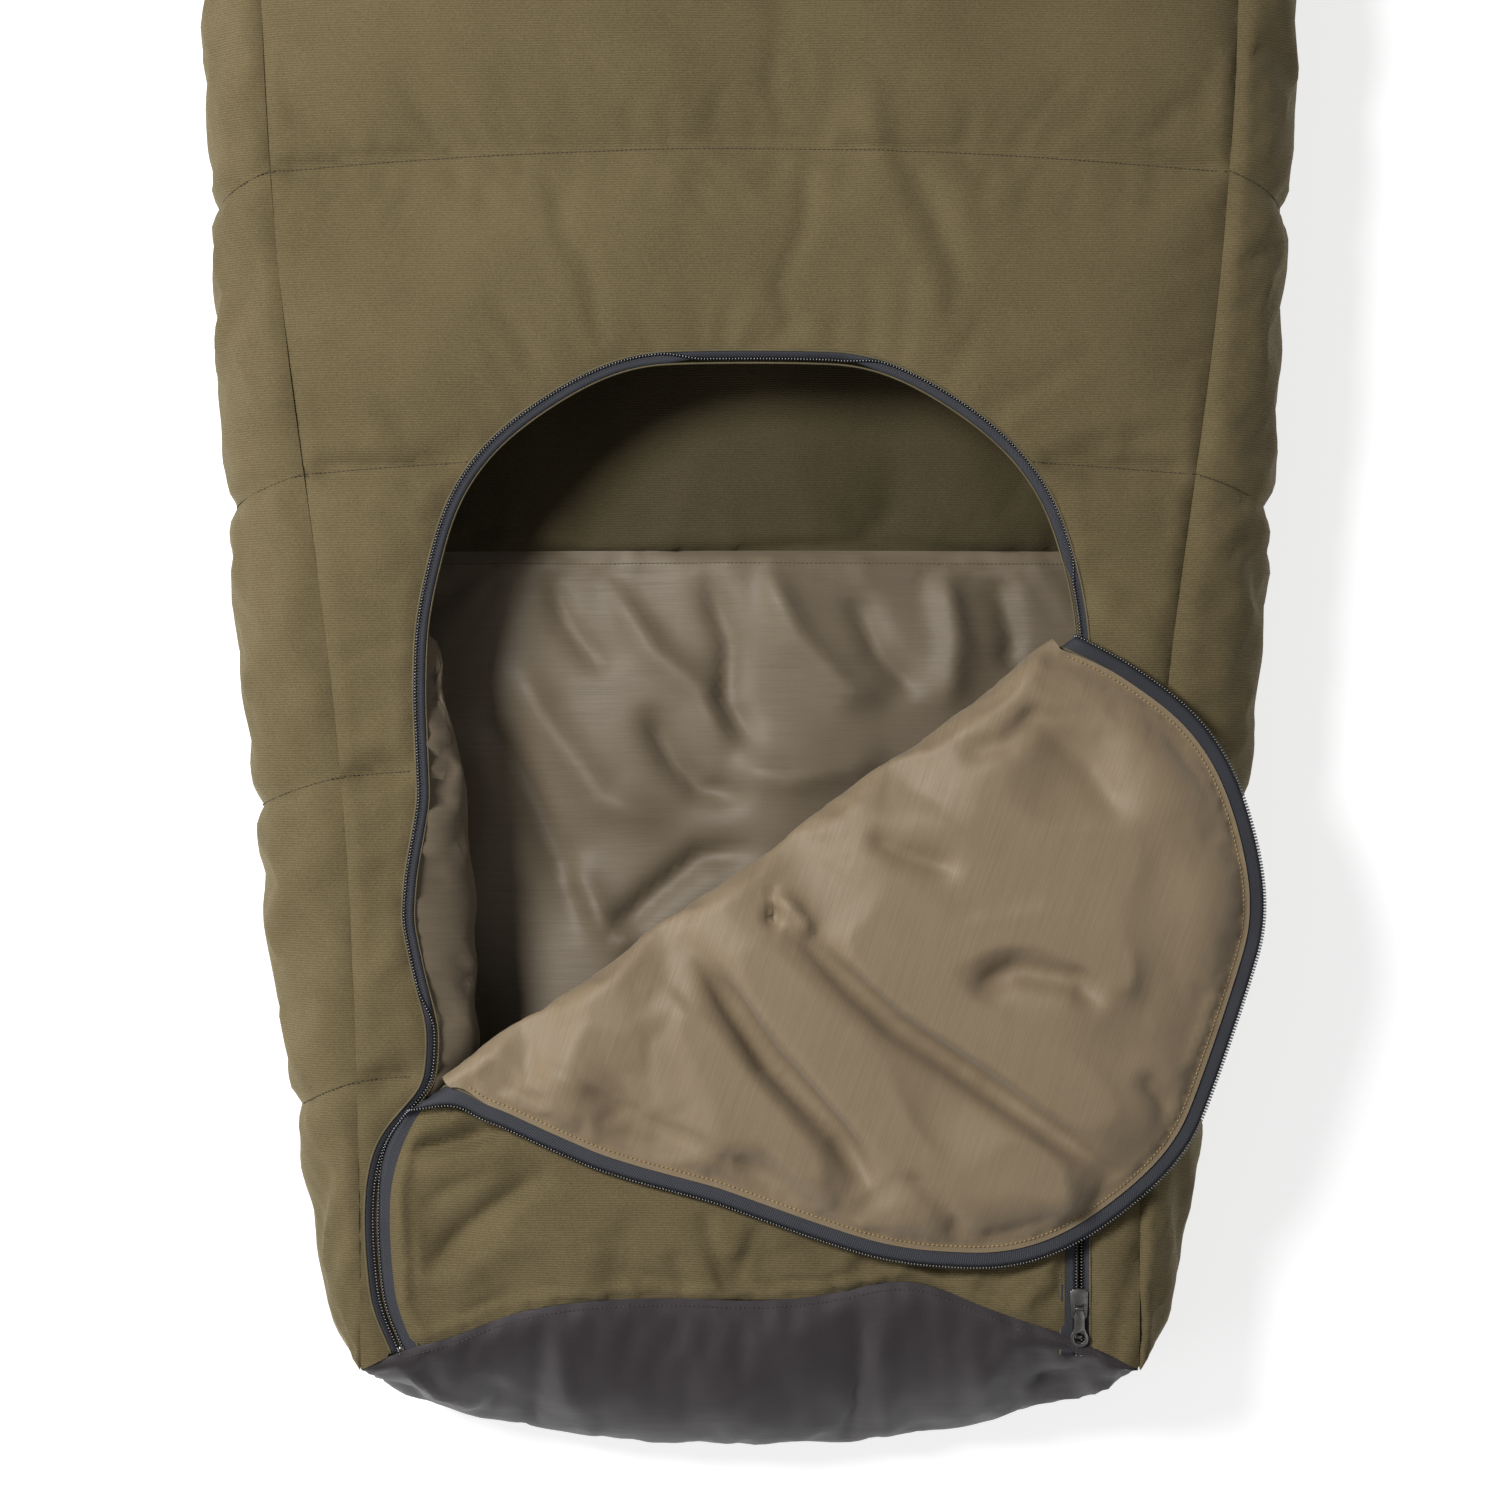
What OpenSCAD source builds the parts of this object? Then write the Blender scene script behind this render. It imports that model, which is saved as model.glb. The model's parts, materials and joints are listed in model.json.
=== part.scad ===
// Insulated bivy sack lying on its back: foot end towards -Y, mouth towards +Y, top up.
// The foot flap is unzipped and folded over a slanting line, lining side up.
// Lengths along the bag are counted from the foot end and written s.

/* [Bag] */
// Length from the foot end to the mouth
bag_length = 2100; // [1500:10:2600]
// Full width over the gussets at the shoulders
shoulder_width = 780; // [640:5:940]
// Width between the two side seams at the foot
foot_seam_width = 524; // [430:2:640]
// Height of the filled bag
bag_height = 120; // [95:1:160]
// Distance over which the sides spread out to the shoulder width
taper_length = 450; // [300:10:700]
// How far the gusset stands out from its seams at the foot, beyond its own thickness
foot_bulge = 3; // [2:1:20]
// How far the gusset stands out from its seams at the shoulders
shoulder_bulge = 55; // [35:1:80]
// Distance from the foot end to the corners where foot, top, back and gusset meet
corner_depth = 65; // [50:1:90]
// How much further up the bag the middle of the foot cap's top seam lies
foot_seam_rise = 50; // [20:1:80]
// Width of the bound hem round the mouth
hem_width = 12; // [6:1:30]

/* [Layers] */
// Thickness of the outer shell fabric
shell_thick = 1.2; // [0.6:0.1:2.5]
// Thickness of the quilted filling
padding_thick = 9.5; // [4:0.5:18]
// Thickness of the lining fabric
lining_thick = 1; // [0.5:0.1:2]
// Clearance between neighbouring layers and panels
panel_gap = 0.3; // [0.2:0.05:0.6]
// Distance from the foot end to the seam across the back lining
lining_seam = 623; // [400:1:900]

/* [Foot opening] */
// Distance from the side seam to the zip's centre line at the foot
zip_margin = 40; // [32:1:80]
// Radius of the arch's two corners
arch_radius = 165; // [100:1:200]
// Distance from the foot end to the top of the arch
arch_top = 753; // [680:1:900]
// Where the fold crosses the left side of the zip
fold_left = 243; // [180:1:300]
// Where the fold crosses the right side of the zip
fold_right = 561; // [480:1:575]
// Free height under the folded flap
fold_gap = 6; // [5:0.5:15]
// Distance from the fold line to the cut edges of the flap's two parts
fold_edge = 3; // [2:0.5:6]
// Distance from the fold line at which the flap's coil starts
coil_start = 12; // [10:1:20]

/* [Zip] */
// Visible width of one zip tape
tape_width = 12; // [10:0.5:16]
// Thickness of the tape
tape_thick = 0.8; // [0.5:0.1:1]
// Width of one strand of coil
coil_width = 2.2; // [1.5:0.1:2.6]
// Thickness of a strand of coil
coil_thick = 2.2; // [1.5:0.1:2.6]
// Gap between the two strands
strand_gap = 1.2; // [1:0.1:1.6]
// Depth of the zip's middle plane below the top of the bag
zip_drop = 3; // [2.6:0.1:5]
// Running clearance between the slider and the coil
slider_clear = 0.3; // [0.2:0.05:0.5]
// Length of the slider
slider_length = 20; // [16:0.5:26]
// Width of the slider at its nose
slider_nose = 12; // [11:0.5:16]
// Width of the slider at its tail
slider_tail = 10.5; // [10:0.5:14]
// Thickness of the slider's two plates
plate_thick = 1.1; // [0.8:0.1:1.6]
// Distance from the start of the zip to the middle of the slider at rest
slider_rest = 20; // [17:1:40]
// Radius of the bar that the pull turns on
bar_radius = 0.8; // [0.6:0.05:1]
// Radial clearance of the pull on its bar
bar_clear = 0.08; // [0.05:0.01:0.1]
// Length of the pull from the bar to its far end
pull_length = 26; // [20:0.5:28]
// Width of the pull at its eye
pull_eye_width = 12; // [10.5:0.5:14]
// Radius of the eye in the pull
pull_eye_radius = 3.75; // [2.5:0.05:4]
// Thickness of the pull
pull_thick = 1.6; // [1:0.1:2]
// Height of the flat pull above the top of the bag
pull_clear = 0.5; // [0.3:0.1:1]

/* [Hidden] */

olive = [0.43, 0.38, 0.27];
taffeta = [0.55, 0.48, 0.4];
charcoal = [0.28, 0.26, 0.28];
navy = [0.2, 0.2, 0.24];
coil_black = [0.1, 0.1, 0.11];
wadding = [0.9, 0.9, 0.87];
gunmetal = [0.45, 0.44, 0.43];

length_steps = 20;
length_power = 1.6;
foot_steps = 20;
wall_steps = 10;
arc_steps = 18;
seam_middle = 650;
seam_spread = 130;
edge_power = 2.5;
seam_power = 3;
back_inset = 23;

half_length = bag_length / 2;
hem_start = bag_length - hem_width;
seam_foot = foot_seam_width / 2;
seam_shoulder = shoulder_width / 2 - shoulder_bulge;
padding_in = shell_thick + panel_gap;
lining_in = padding_in + padding_thick + panel_gap;
wall_in = lining_in + lining_thick;
edge_inset = wall_in + 1;

zip_half = seam_foot - zip_margin;
arch_side = arch_top - arch_radius;
zip_plane = bag_height - zip_drop;
fold_slope = (fold_right - fold_left) / (2 * zip_half);
fold_angle = atan(fold_slope);
fold_axis = bag_height + fold_gap / 2;

// Depth ranges [outer face, inner face] below the skin
shell_layer = [0, shell_thick];
padding_layer = [padding_in, padding_in + padding_thick];
lining_layer = [lining_in, wall_in];

// Half the width over the gussets, and between the seams, at a distance s from the foot end
function side_half(s) =
    shoulder_width / 2
    - (shoulder_width / 2 - seam_foot - wall_in - foot_bulge) * exp(-(s - corner_depth) / taper_length);
function seam_half(s) =
    seam_foot + (seam_shoulder - seam_foot) / (1 + exp(-(s - seam_middle) / seam_spread));

// The foot end in plan at a distance x from the middle: silhouette, back seam and top seam
function across(x, p) = pow(abs(x) / seam_foot, p);
function foot_edge(x) = (corner_depth - edge_inset) * across(x, edge_power);
function foot_back(x) = foot_edge(x) + edge_inset + back_inset * (1 - across(x, 2));
function foot_top(x) = corner_depth + foot_seam_rise * (1 - across(x, seam_power));
function fold_at(x) = fold_left + (x + zip_half) * fold_slope;

// A bulged wall from the back seam to the top seam: [outward distance, height] at depth d
function bez(a, b, c, d, u) =
    pow(1 - u, 3) * a + 3 * pow(1 - u, 2) * u * b + 3 * (1 - u) * u * u * c + pow(u, 3) * d;
function wall_point(low, high, bulge, d, u) = [
    bez(low, low + bulge - d / 0.75, high + bulge - d / 0.75, high, u),
    bez(d, d, bag_height - d, bag_height - d, u)
];
function wall_ring(low, high, bulge, layer) = concat(
    [for (i = [0:wall_steps]) wall_point(low, high, bulge, layer[0], i / wall_steps)],
    [for (i = [wall_steps:-1:0]) wall_point(low, high, bulge, layer[1], i / wall_steps)]
);

// The bulge that just carries the foot cap out to its silhouette
function foot_reach(x) = min([
    for (i = [1:wall_steps - 1]) let (u = i / wall_steps)
        (bez(foot_back(x), foot_back(x), foot_top(x), foot_top(x), u) - foot_edge(x))
        / (3 * u * (1 - u))
]);

lengths = [
    for (i = [0:length_steps])
        corner_depth + panel_gap
        + (hem_start - corner_depth - 2 * panel_gap) * pow(i / length_steps, length_power)
];
crossings = [for (i = [0:foot_steps]) seam_foot * (2 * i / foot_steps - 1)];

// Outline of the zip's arch, inset by d from its centre line, from right_s up, over and down to left_s
function arch(d, right_s, left_s) = concat(
    [[zip_half - d, right_s]],
    [for (i = [0:arc_steps]) let (a = 90 * i / arc_steps)
        [zip_half - arch_radius + (arch_radius - d) * cos(a), arch_side + (arch_radius - d) * sin(a)]],
    [for (i = [0:arc_steps]) let (a = 90 + 90 * i / arc_steps)
        [arch_radius - zip_half + (arch_radius - d) * cos(a), arch_side + (arch_radius - d) * sin(a)]],
    [[d - zip_half, left_s]]
);
function reversed(list) = [for (i = [len(list) - 1:-1:0]) list[i]];

// A flat slab between two depths below the top, and one between two depths above the back
module top_slab(points, layer)
    translate([0, -half_length, bag_height - layer[1]])
        linear_extrude(layer[1] - layer[0]) polygon(points);
module back_slab(points, layer)
    translate([0, -half_length, layer[0]])
        linear_extrude(layer[1] - layer[0]) polygon(points);
module zip_slab(points, thick)
    translate([0, -half_length, zip_plane - thick / 2])
        linear_extrude(thick) polygon(points);

// A solid through a row of closed rings. Its facets are cut the same way on the outer and
// inner faces, so that neighbouring layers stay parallel.
module loft(rings) {
    n = len(rings[0]);
    last = len(rings) - 1;
    polyhedron(
        points = [for (ring = rings) each ring],
        faces = concat(
            [[for (i = [0:n - 1]) i]],
            [for (r = [0:last - 1], i = [0:n - 1]) let (
                j = (i + 1) % n,
                a = r * n + i,
                b = r * n + j,
                c = (r + 1) * n + j,
                d = (r + 1) * n + i
            ) each (i < n / 2 ? [[a, c, b], [a, d, c]] : [[a, d, b], [b, d, c]])],
            [reversed([for (i = [0:n - 1]) last * n + i])]
        )
    );
}

// One layer of a gusset, drawn on the right-hand side
module side_wall(layer)
    loft([
        for (s = lengths) let (x = seam_half(s) + panel_gap)
            [for (p = wall_ring(x, x, (side_half(s) - x) / 0.75, layer)) [p[0], s - half_length, p[1]]]
    ]);

// One layer of the foot cap
module foot_wall(layer)
    loft([
        for (x = crossings)
            [for (p = wall_ring(-foot_back(x), -foot_top(x), foot_reach(x), layer))
                [x, -p[0] - half_length, p[1]]]
    ]);

// Plan of the back, between two distances from the foot end
side_line = [for (s = lengths) [seam_half(s), s]];
module back_panel(layer)
    back_slab(concat(
        [for (x = crossings) [x, foot_back(x) + panel_gap]],
        side_line,
        reversed([for (p = side_line) [-p[0], p[1]]])
    ), layer);

// Plan of the top with the arch cut out
module top_panel(layer)
    top_slab(concat(
        side_line,
        reversed([for (p = side_line) [-p[0], p[1]]]),
        [for (x = crossings) if (x < -zip_half - tape_width) [x, foot_top(x) + panel_gap]],
        reversed(arch(-tape_width, foot_top(zip_half + tape_width) + panel_gap,
            foot_top(zip_half + tape_width) + panel_gap)),
        [for (x = crossings) if (x > zip_half + tape_width) [x, foot_top(x) + panel_gap]]
    ), layer);

// The lower part of the flap, still lying in its place
flap_half = zip_half - tape_width;
edge_rise = fold_edge / cos(fold_angle);
module flap_base(layer)
    top_slab(concat(
        [[-flap_half, foot_top(flap_half) + panel_gap]],
        [for (x = crossings) if (abs(x) < flap_half) [x, foot_top(x) + panel_gap]],
        [[flap_half, foot_top(flap_half) + panel_gap]],
        [[flap_half, fold_at(flap_half) - edge_rise], [-flap_half, fold_at(-flap_half) - edge_rise]]
    ), layer);

// The upper part of the flap, closed, and the half turn that folds it over
module flap_panel(layer)
    top_slab(arch(tape_width, fold_at(flap_half) + edge_rise, fold_at(-flap_half) + edge_rise), layer);
module folded()
    translate([0, fold_at(0) - half_length, fold_axis])
        rotate(a = 180, v = [cos(fold_angle), sin(fold_angle), 0])
            translate([0, half_length - fold_at(0), -fold_axis])
                children();

// Bands of tape and coil. Each is given by its insets from the zip's centre line.
coil_inset = strand_gap / 2;
tape_inset = coil_inset + coil_width;
zip_start = foot_top(zip_half - tape_width) + 2 * panel_gap;
stop_length = 3;
chain_start = zip_start + stop_length + panel_gap;
function band(d0, d1, right_s, left_s) =
    concat(arch(d0, right_s, left_s), reversed(arch(d1, right_s, left_s)));
function flap_band(d0, d1, off) = let (rise = off / cos(fold_angle))
    concat(
        arch(d0, fold_at(zip_half - d0) + rise, fold_at(d0 - zip_half) + rise),
        reversed(arch(d1, fold_at(zip_half - d1) + rise, fold_at(d1 - zip_half) + rise))
    );
function base_strip(side, d0, d1, from_s) = [
    [side * (zip_half - d0), from_s],
    [side * (zip_half - d1), from_s],
    [side * (zip_half - d1), fold_at(side * (zip_half - d1)) - edge_rise],
    [side * (zip_half - d0), fold_at(side * (zip_half - d0)) - edge_rise]
];

module back_shell() color(olive) back_panel(shell_layer);
module back_padding() color(wadding) back_panel(padding_layer);
module back_lining_upper() color(olive)
    intersection() {
        back_panel(lining_layer);
        translate([-shoulder_width / 2, lining_seam + panel_gap - half_length, 0])
            cube([shoulder_width, bag_length, bag_height]);
    }
module back_lining_lower() color(taffeta)
    intersection() {
        back_panel(lining_layer);
        translate([-shoulder_width / 2, -half_length, 0])
            cube([shoulder_width, lining_seam, bag_height]);
    }

module right_side_shell() color(olive) side_wall(shell_layer);
module right_side_padding() color(wadding) side_wall(padding_layer);
module right_side_lining() color(taffeta) side_wall(lining_layer);
module left_side_shell() color(olive) mirror([1, 0, 0]) side_wall(shell_layer);
module left_side_padding() color(wadding) mirror([1, 0, 0]) side_wall(padding_layer);
module left_side_lining() color(taffeta) mirror([1, 0, 0]) side_wall(lining_layer);

module top_shell() color(olive) top_panel(shell_layer);
module top_padding() color(wadding) top_panel(padding_layer);
module top_lining() color(taffeta) top_panel(lining_layer);

module foot_cap() color(charcoal) foot_wall(shell_layer);
module foot_padding() color(wadding) foot_wall(padding_layer);
module foot_lining() color(taffeta) foot_wall(lining_layer);

// The hem closes all layers round the mouth
function mouth_outline(d) = let (
    x = seam_half(hem_start),
    half = [for (i = [0:wall_steps]) wall_point(x, x, (side_half(hem_start) - x) / 0.75, d, i / wall_steps)]
) concat(half, reversed([for (p = half) [-p[0], p[1]]]));
module mouth_hem() color(charcoal)
    translate([0, half_length, 0]) rotate([90, 0, 0])
        linear_extrude(hem_width) difference() {
            polygon(mouth_outline(0));
            polygon(mouth_outline(wall_in));
        }

module flap_base_shell() color(olive) flap_base(shell_layer);
module flap_base_padding() color(wadding) flap_base(padding_layer);
module flap_base_lining() color(taffeta) flap_base(lining_layer);
module flap_base_zip_tape() color(navy)
    for (side = [-1, 1]) zip_slab(base_strip(side, tape_inset, tape_width, zip_start), tape_thick);
module flap_base_zip_coil() color(coil_black)
    for (side = [-1, 1]) zip_slab(base_strip(side, coil_inset, tape_inset, chain_start), coil_thick);

module body_zip_tape() color(navy)
    zip_slab(band(-tape_width, -tape_inset, zip_start, zip_start), tape_thick);
module body_zip_coil() color(coil_black)
    zip_slab(band(-tape_inset, -coil_inset, chain_start, chain_start), coil_thick);
module zip_end_stops() color(gunmetal)
    for (side = [-1, 1])
        translate([side * zip_half - tape_inset, zip_start - half_length, zip_plane - coil_thick / 2])
            cube([2 * tape_inset, stop_length, coil_thick]);

module flap_shell() color(olive) folded() flap_panel(shell_layer);
module flap_padding() color(wadding) folded() flap_panel(padding_layer);
module flap_lining() color(taffeta) folded() flap_panel(lining_layer);
module flap_zip_tape() color(navy)
    folded() zip_slab(flap_band(tape_inset, tape_width, 2 * fold_edge), tape_thick);
module flap_zip_coil() color(coil_black)
    folded() zip_slab(flap_band(coil_inset, tape_inset, coil_start), coil_thick);

// The slider and pull, drawn about the middle of the slider in the zip's plane
plate_low = coil_thick / 2 + slider_clear;
plate_top = plate_low + plate_thick;
knuckle_wall = 0.7;
knuckle_radius = bar_radius + bar_clear + knuckle_wall;
bar_height = max(plate_top + knuckle_radius + slider_clear, zip_drop + pull_thick / 2 + pull_clear);
bar_back = 3;
flange_in = tape_inset + 0.5;
cheek_thick = 1;
cheek_length = 5;
knuckle_half = 2.6;
knuckle_reach = cheek_length / 2 + slider_clear;
pull_waist = 7;
web_half = strand_gap / 2 - slider_clear;
module at_slider()
    translate([zip_half, zip_start + slider_rest - half_length, zip_plane]) children();
module slider_plate() {
    nose = slider_nose / 2;
    tail = slider_tail / 2;
    end = slider_length / 2;
    polygon([
        [-tail, -end + 1], [1 - tail, -end], [tail - 1, -end], [tail, -end + 1],
        [nose, end / 3], [nose, end - 2], [nose - 2, end], [2 - nose, end], [-nose, end - 2], [-nose, end / 3]
    ]);
}
module slider_flange(side)
    intersection() {
        linear_extrude(plate_thick + plate_low) slider_plate();
        translate([side > 0 ? flange_in : -slider_nose, -slider_length, tape_thick / 2 + slider_clear])
            cube([slider_nose - flange_in, 2 * slider_length, plate_top]);
    }
module slider_body() color(gunmetal) at_slider() {
    for (face = [0, 1]) mirror([0, 0, face]) {
        translate([0, 0, plate_low]) linear_extrude(plate_thick) slider_plate();
        for (side = [-1, 1]) slider_flange(side);
    }
    translate([-web_half, slider_length / 2 - 6, -plate_low - plate_thick / 2])
        cube([2 * web_half, 4, 2 * plate_low + plate_thick]);
}
module slider_bridge() color(gunmetal) at_slider() {
    for (side = [-1, 1])
        translate([side * (knuckle_half + slider_clear + cheek_thick / 2), -bar_back, plate_top])
            translate([-cheek_thick / 2, -cheek_length / 2, 0])
                cube([cheek_thick, cheek_length, bar_height - plate_top + bar_radius + slider_clear]);
    translate([-knuckle_half - slider_clear - cheek_thick / 2, -bar_back, bar_height])
        rotate([0, 90, 0])
            cylinder(h = 2 * (knuckle_half + slider_clear) + cheek_thick, r = bar_radius, $fn = 32);
}
module pull_tab() color(gunmetal) at_slider() translate([0, -bar_back, bar_height])
    difference() {
        union() {
            translate([-knuckle_half, 0, 0]) rotate([0, 90, 0])
                cylinder(h = 2 * knuckle_half, r = knuckle_radius, $fn = 48);
            translate([0, 0, -pull_thick / 2]) linear_extrude(pull_thick)
                polygon([
                    [-knuckle_half, 0], [knuckle_half, 0], [knuckle_half, -knuckle_reach],
                    [pull_waist / 2, -cheek_length], [pull_waist / 2, -pull_length / 2],
                    [pull_eye_width / 2, pull_eye_width / 2 - pull_length],
                    [-pull_eye_width / 2, pull_eye_width / 2 - pull_length],
                    [-pull_waist / 2, -pull_length / 2], [-pull_waist / 2, -cheek_length],
                    [-knuckle_half, -knuckle_reach]
                ]);
            translate([0, pull_eye_width / 2 - pull_length, -pull_thick / 2])
                cylinder(h = pull_thick, r = pull_eye_width / 2, $fn = 48);
        }
        translate([-knuckle_half - 1, 0, 0]) rotate([0, 90, 0])
            cylinder(h = 2 * knuckle_half + 2, r = bar_radius + bar_clear, $fn = 32);
        translate([0, pull_eye_width / 2 - pull_length, -pull_thick])
            cylinder(h = 2 * pull_thick, r = pull_eye_radius, $fn = 48);
    }

back_shell();
back_padding();
back_lining_upper();
back_lining_lower();
left_side_shell();
left_side_padding();
left_side_lining();
right_side_shell();
right_side_padding();
right_side_lining();
top_shell();
top_padding();
top_lining();
foot_cap();
foot_padding();
foot_lining();
mouth_hem();
flap_base_shell();
flap_base_padding();
flap_base_lining();
flap_base_zip_tape();
flap_base_zip_coil();
body_zip_tape();
body_zip_coil();
zip_end_stops();
flap_shell();
flap_padding();
flap_lining();
flap_zip_tape();
flap_zip_coil();
slider_body();
slider_bridge();
pull_tab();
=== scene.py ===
import json
import math

import bmesh
import bpy
import numpy as np
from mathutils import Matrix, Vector
from mathutils.bvhtree import BVHTree
from mathutils.geometry import delaunay_2d_cdt

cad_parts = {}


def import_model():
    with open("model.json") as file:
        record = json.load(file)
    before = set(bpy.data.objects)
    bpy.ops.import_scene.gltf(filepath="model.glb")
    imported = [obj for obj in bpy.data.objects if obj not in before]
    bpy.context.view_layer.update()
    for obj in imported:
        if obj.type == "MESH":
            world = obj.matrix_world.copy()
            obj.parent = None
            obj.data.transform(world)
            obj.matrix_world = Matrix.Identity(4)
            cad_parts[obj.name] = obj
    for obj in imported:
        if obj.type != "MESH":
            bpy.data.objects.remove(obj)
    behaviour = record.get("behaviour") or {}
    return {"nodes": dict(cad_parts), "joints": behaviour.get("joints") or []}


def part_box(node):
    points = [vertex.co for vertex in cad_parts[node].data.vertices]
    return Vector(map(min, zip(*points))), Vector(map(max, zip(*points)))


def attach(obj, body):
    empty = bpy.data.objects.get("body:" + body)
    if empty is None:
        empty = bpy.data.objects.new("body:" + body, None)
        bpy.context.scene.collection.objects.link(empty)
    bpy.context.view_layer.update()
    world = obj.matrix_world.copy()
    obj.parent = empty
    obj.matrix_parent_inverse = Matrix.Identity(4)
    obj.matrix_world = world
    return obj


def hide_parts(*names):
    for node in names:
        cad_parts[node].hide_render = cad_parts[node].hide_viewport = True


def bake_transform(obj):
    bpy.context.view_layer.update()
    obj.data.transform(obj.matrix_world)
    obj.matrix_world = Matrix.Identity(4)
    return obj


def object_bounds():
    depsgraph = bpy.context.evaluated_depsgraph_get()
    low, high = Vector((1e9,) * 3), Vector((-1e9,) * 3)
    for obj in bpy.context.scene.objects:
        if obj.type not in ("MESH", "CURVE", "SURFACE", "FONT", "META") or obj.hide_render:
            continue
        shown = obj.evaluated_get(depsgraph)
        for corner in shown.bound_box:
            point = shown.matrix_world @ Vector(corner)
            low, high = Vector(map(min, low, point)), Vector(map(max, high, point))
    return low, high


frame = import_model()
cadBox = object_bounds()

# Lengths in the sewing plan are in millimetres. s counts from the foot end, x from the middle,
# and h is the height above the ground.
footY = cadBox[0][1]
bagLength = (cadBox[1][1] - cadBox[0][1]) * 1000
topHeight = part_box("top_shell")[1][2] * 1000
zipPlane = (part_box("body_zip_tape")[0][2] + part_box("body_zip_tape")[1][2]) * 500
hinge = next(j for j in frame["joints"] if j["name"] == "flap_fold")["pos_m"][2] * 1000
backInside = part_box("back_lining_lower")[1][2] * 1000

plan = {
    "seamFoot": 262, "seamGain": 73, "seamMiddle": 650, "seamSpread": 130,
    "sideFar": 390, "sideLoss": 112.7, "sideTaper": 450,
    "corner": 65, "footRise": 50, "edgeInset": 13.3, "backInset": 23,
    "zipHalf": 222, "archRadius": 165, "archMiddle": 57, "archSide": 588,
    "tapeWidth": 12, "coilInset": 0.6, "coilWidth": 2.2, "chainStart": 93,
    "foldLeft": 243, "foldSlope": 0.71622, "liningSeam": 623, "hem": 12,
    "quilts": [64 + 206.5 * k for k in range(1, 10)],
}
foldAngle = math.atan(plan["foldSlope"])
foldAlong = np.array([math.cos(foldAngle), math.sin(foldAngle)])
foldAcross = np.array([math.sin(foldAngle), -math.cos(foldAngle)])
foldMiddle = np.array([0, plan["foldLeft"] + plan["zipHalf"] * plan["foldSlope"]])


def smooth(t):
    # rises softly from 0 to 1
    t = np.clip(t, 0, 1)
    return t * t * (3 - 2 * t)


def bell(x, width, middle=0):
    return np.exp(-((x - middle) / width) ** 2)


def quarterRound(gap, radius):
    # 0 at an edge, and 1 from the end of a rounded corner on
    return np.sqrt(np.clip(1 - (1 - np.clip(gap / radius, 0, 1)) ** 2, 0, 1))


def evenOut(values, passes):
    for _ in range(passes):
        values[1:-1] = (values[:-2] + 2 * values[1:-1] + values[2:]) / 4


def seamHalf(s):
    return plan["seamFoot"] + plan["seamGain"] / (1 + np.exp(-(s - plan["seamMiddle"]) / plan["seamSpread"]))


def sideHalf(s):
    return plan["sideFar"] - plan["sideLoss"] * np.exp(-(s - plan["corner"]) / plan["sideTaper"])


def across(x, power):
    return np.minimum(np.abs(x) / plan["seamFoot"], 1) ** power


def footEdge(x):
    return (plan["corner"] - plan["edgeInset"]) * across(x, 2.5)


def footBack(x):
    return footEdge(x) + plan["edgeInset"] + plan["backInset"] * (1 - across(x, 2))


def footTop(x):
    wave = 13 * bell(x, 45, 108) - 3 * bell(x, 50) - 5 * bell(x, 30, -200)
    return plan["corner"] + plan["footRise"] * (1 - across(x, 3)) + wave


def quiltBow(x):
    return -15 * (x / 315) ** 2


def bezier(a, b, c, d, u):
    return (1 - u) ** 3 * a + 3 * (1 - u) ** 2 * u * b + 3 * (1 - u) * u * u * c + u ** 3 * d


def noise(x, y, size, seed, terms=9):
    # a soft wavy field, about -1 to 1, the same on every run
    rng = np.random.default_rng(seed)
    total = np.zeros(np.shape(x))
    for _ in range(terms):
        turn = rng.uniform(0, math.tau)
        rate = math.tau / size * rng.uniform(0.55, 1.5)
        total = total + np.sin(rate * (x * math.cos(turn) + y * math.sin(turn)) + rng.uniform(0, math.tau))
    return total / math.sqrt(terms / 2)


def toLine(points, line):
    # distance of each point to a polyline, and how far along it the nearest place lies
    points = np.asarray(points, float)
    line = np.asarray(line, float)
    best = np.full(len(points), 1e9)
    along = np.zeros(len(points))
    run = 0.0
    for a, b in zip(line[:-1], line[1:]):
        d = b - a
        size = float(np.hypot(*d[:2])) or 1e-9
        t = np.clip(((points - a) @ d) / (size * size), 0, 1)
        gap = np.hypot(*(points - a - t[:, None] * d).T)
        closer = gap < best
        best = np.where(closer, gap, best)
        along = np.where(closer, run + t * size, along)
        run += size
    return best, along


def resample(line, step):
    line = np.asarray(line, float)
    gaps = np.hypot(*np.diff(line, axis=0).T[:2])
    if line.shape[1] == 3:
        gaps = np.linalg.norm(np.diff(line, axis=0), axis=1)
    run = np.concatenate([[0], np.cumsum(gaps)])
    count = max(2, int(round(run[-1] / step)) + 1)
    marks = np.linspace(0, run[-1], count)
    return np.column_stack([np.interp(marks, run, line[:, k]) for k in range(line.shape[1])])


def inside(points, outline):
    x, y = points[:, 0], points[:, 1]
    result = np.zeros(len(points), bool)
    ends = np.roll(outline, -1, axis=0)
    for (ax, ay), (bx, by) in zip(outline, ends):
        if ay == by:
            continue
        crossed = (ay > y) != (by > y)
        result ^= crossed & (x < (bx - ax) * (y - ay) / (by - ay) + ax)
    return result


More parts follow.
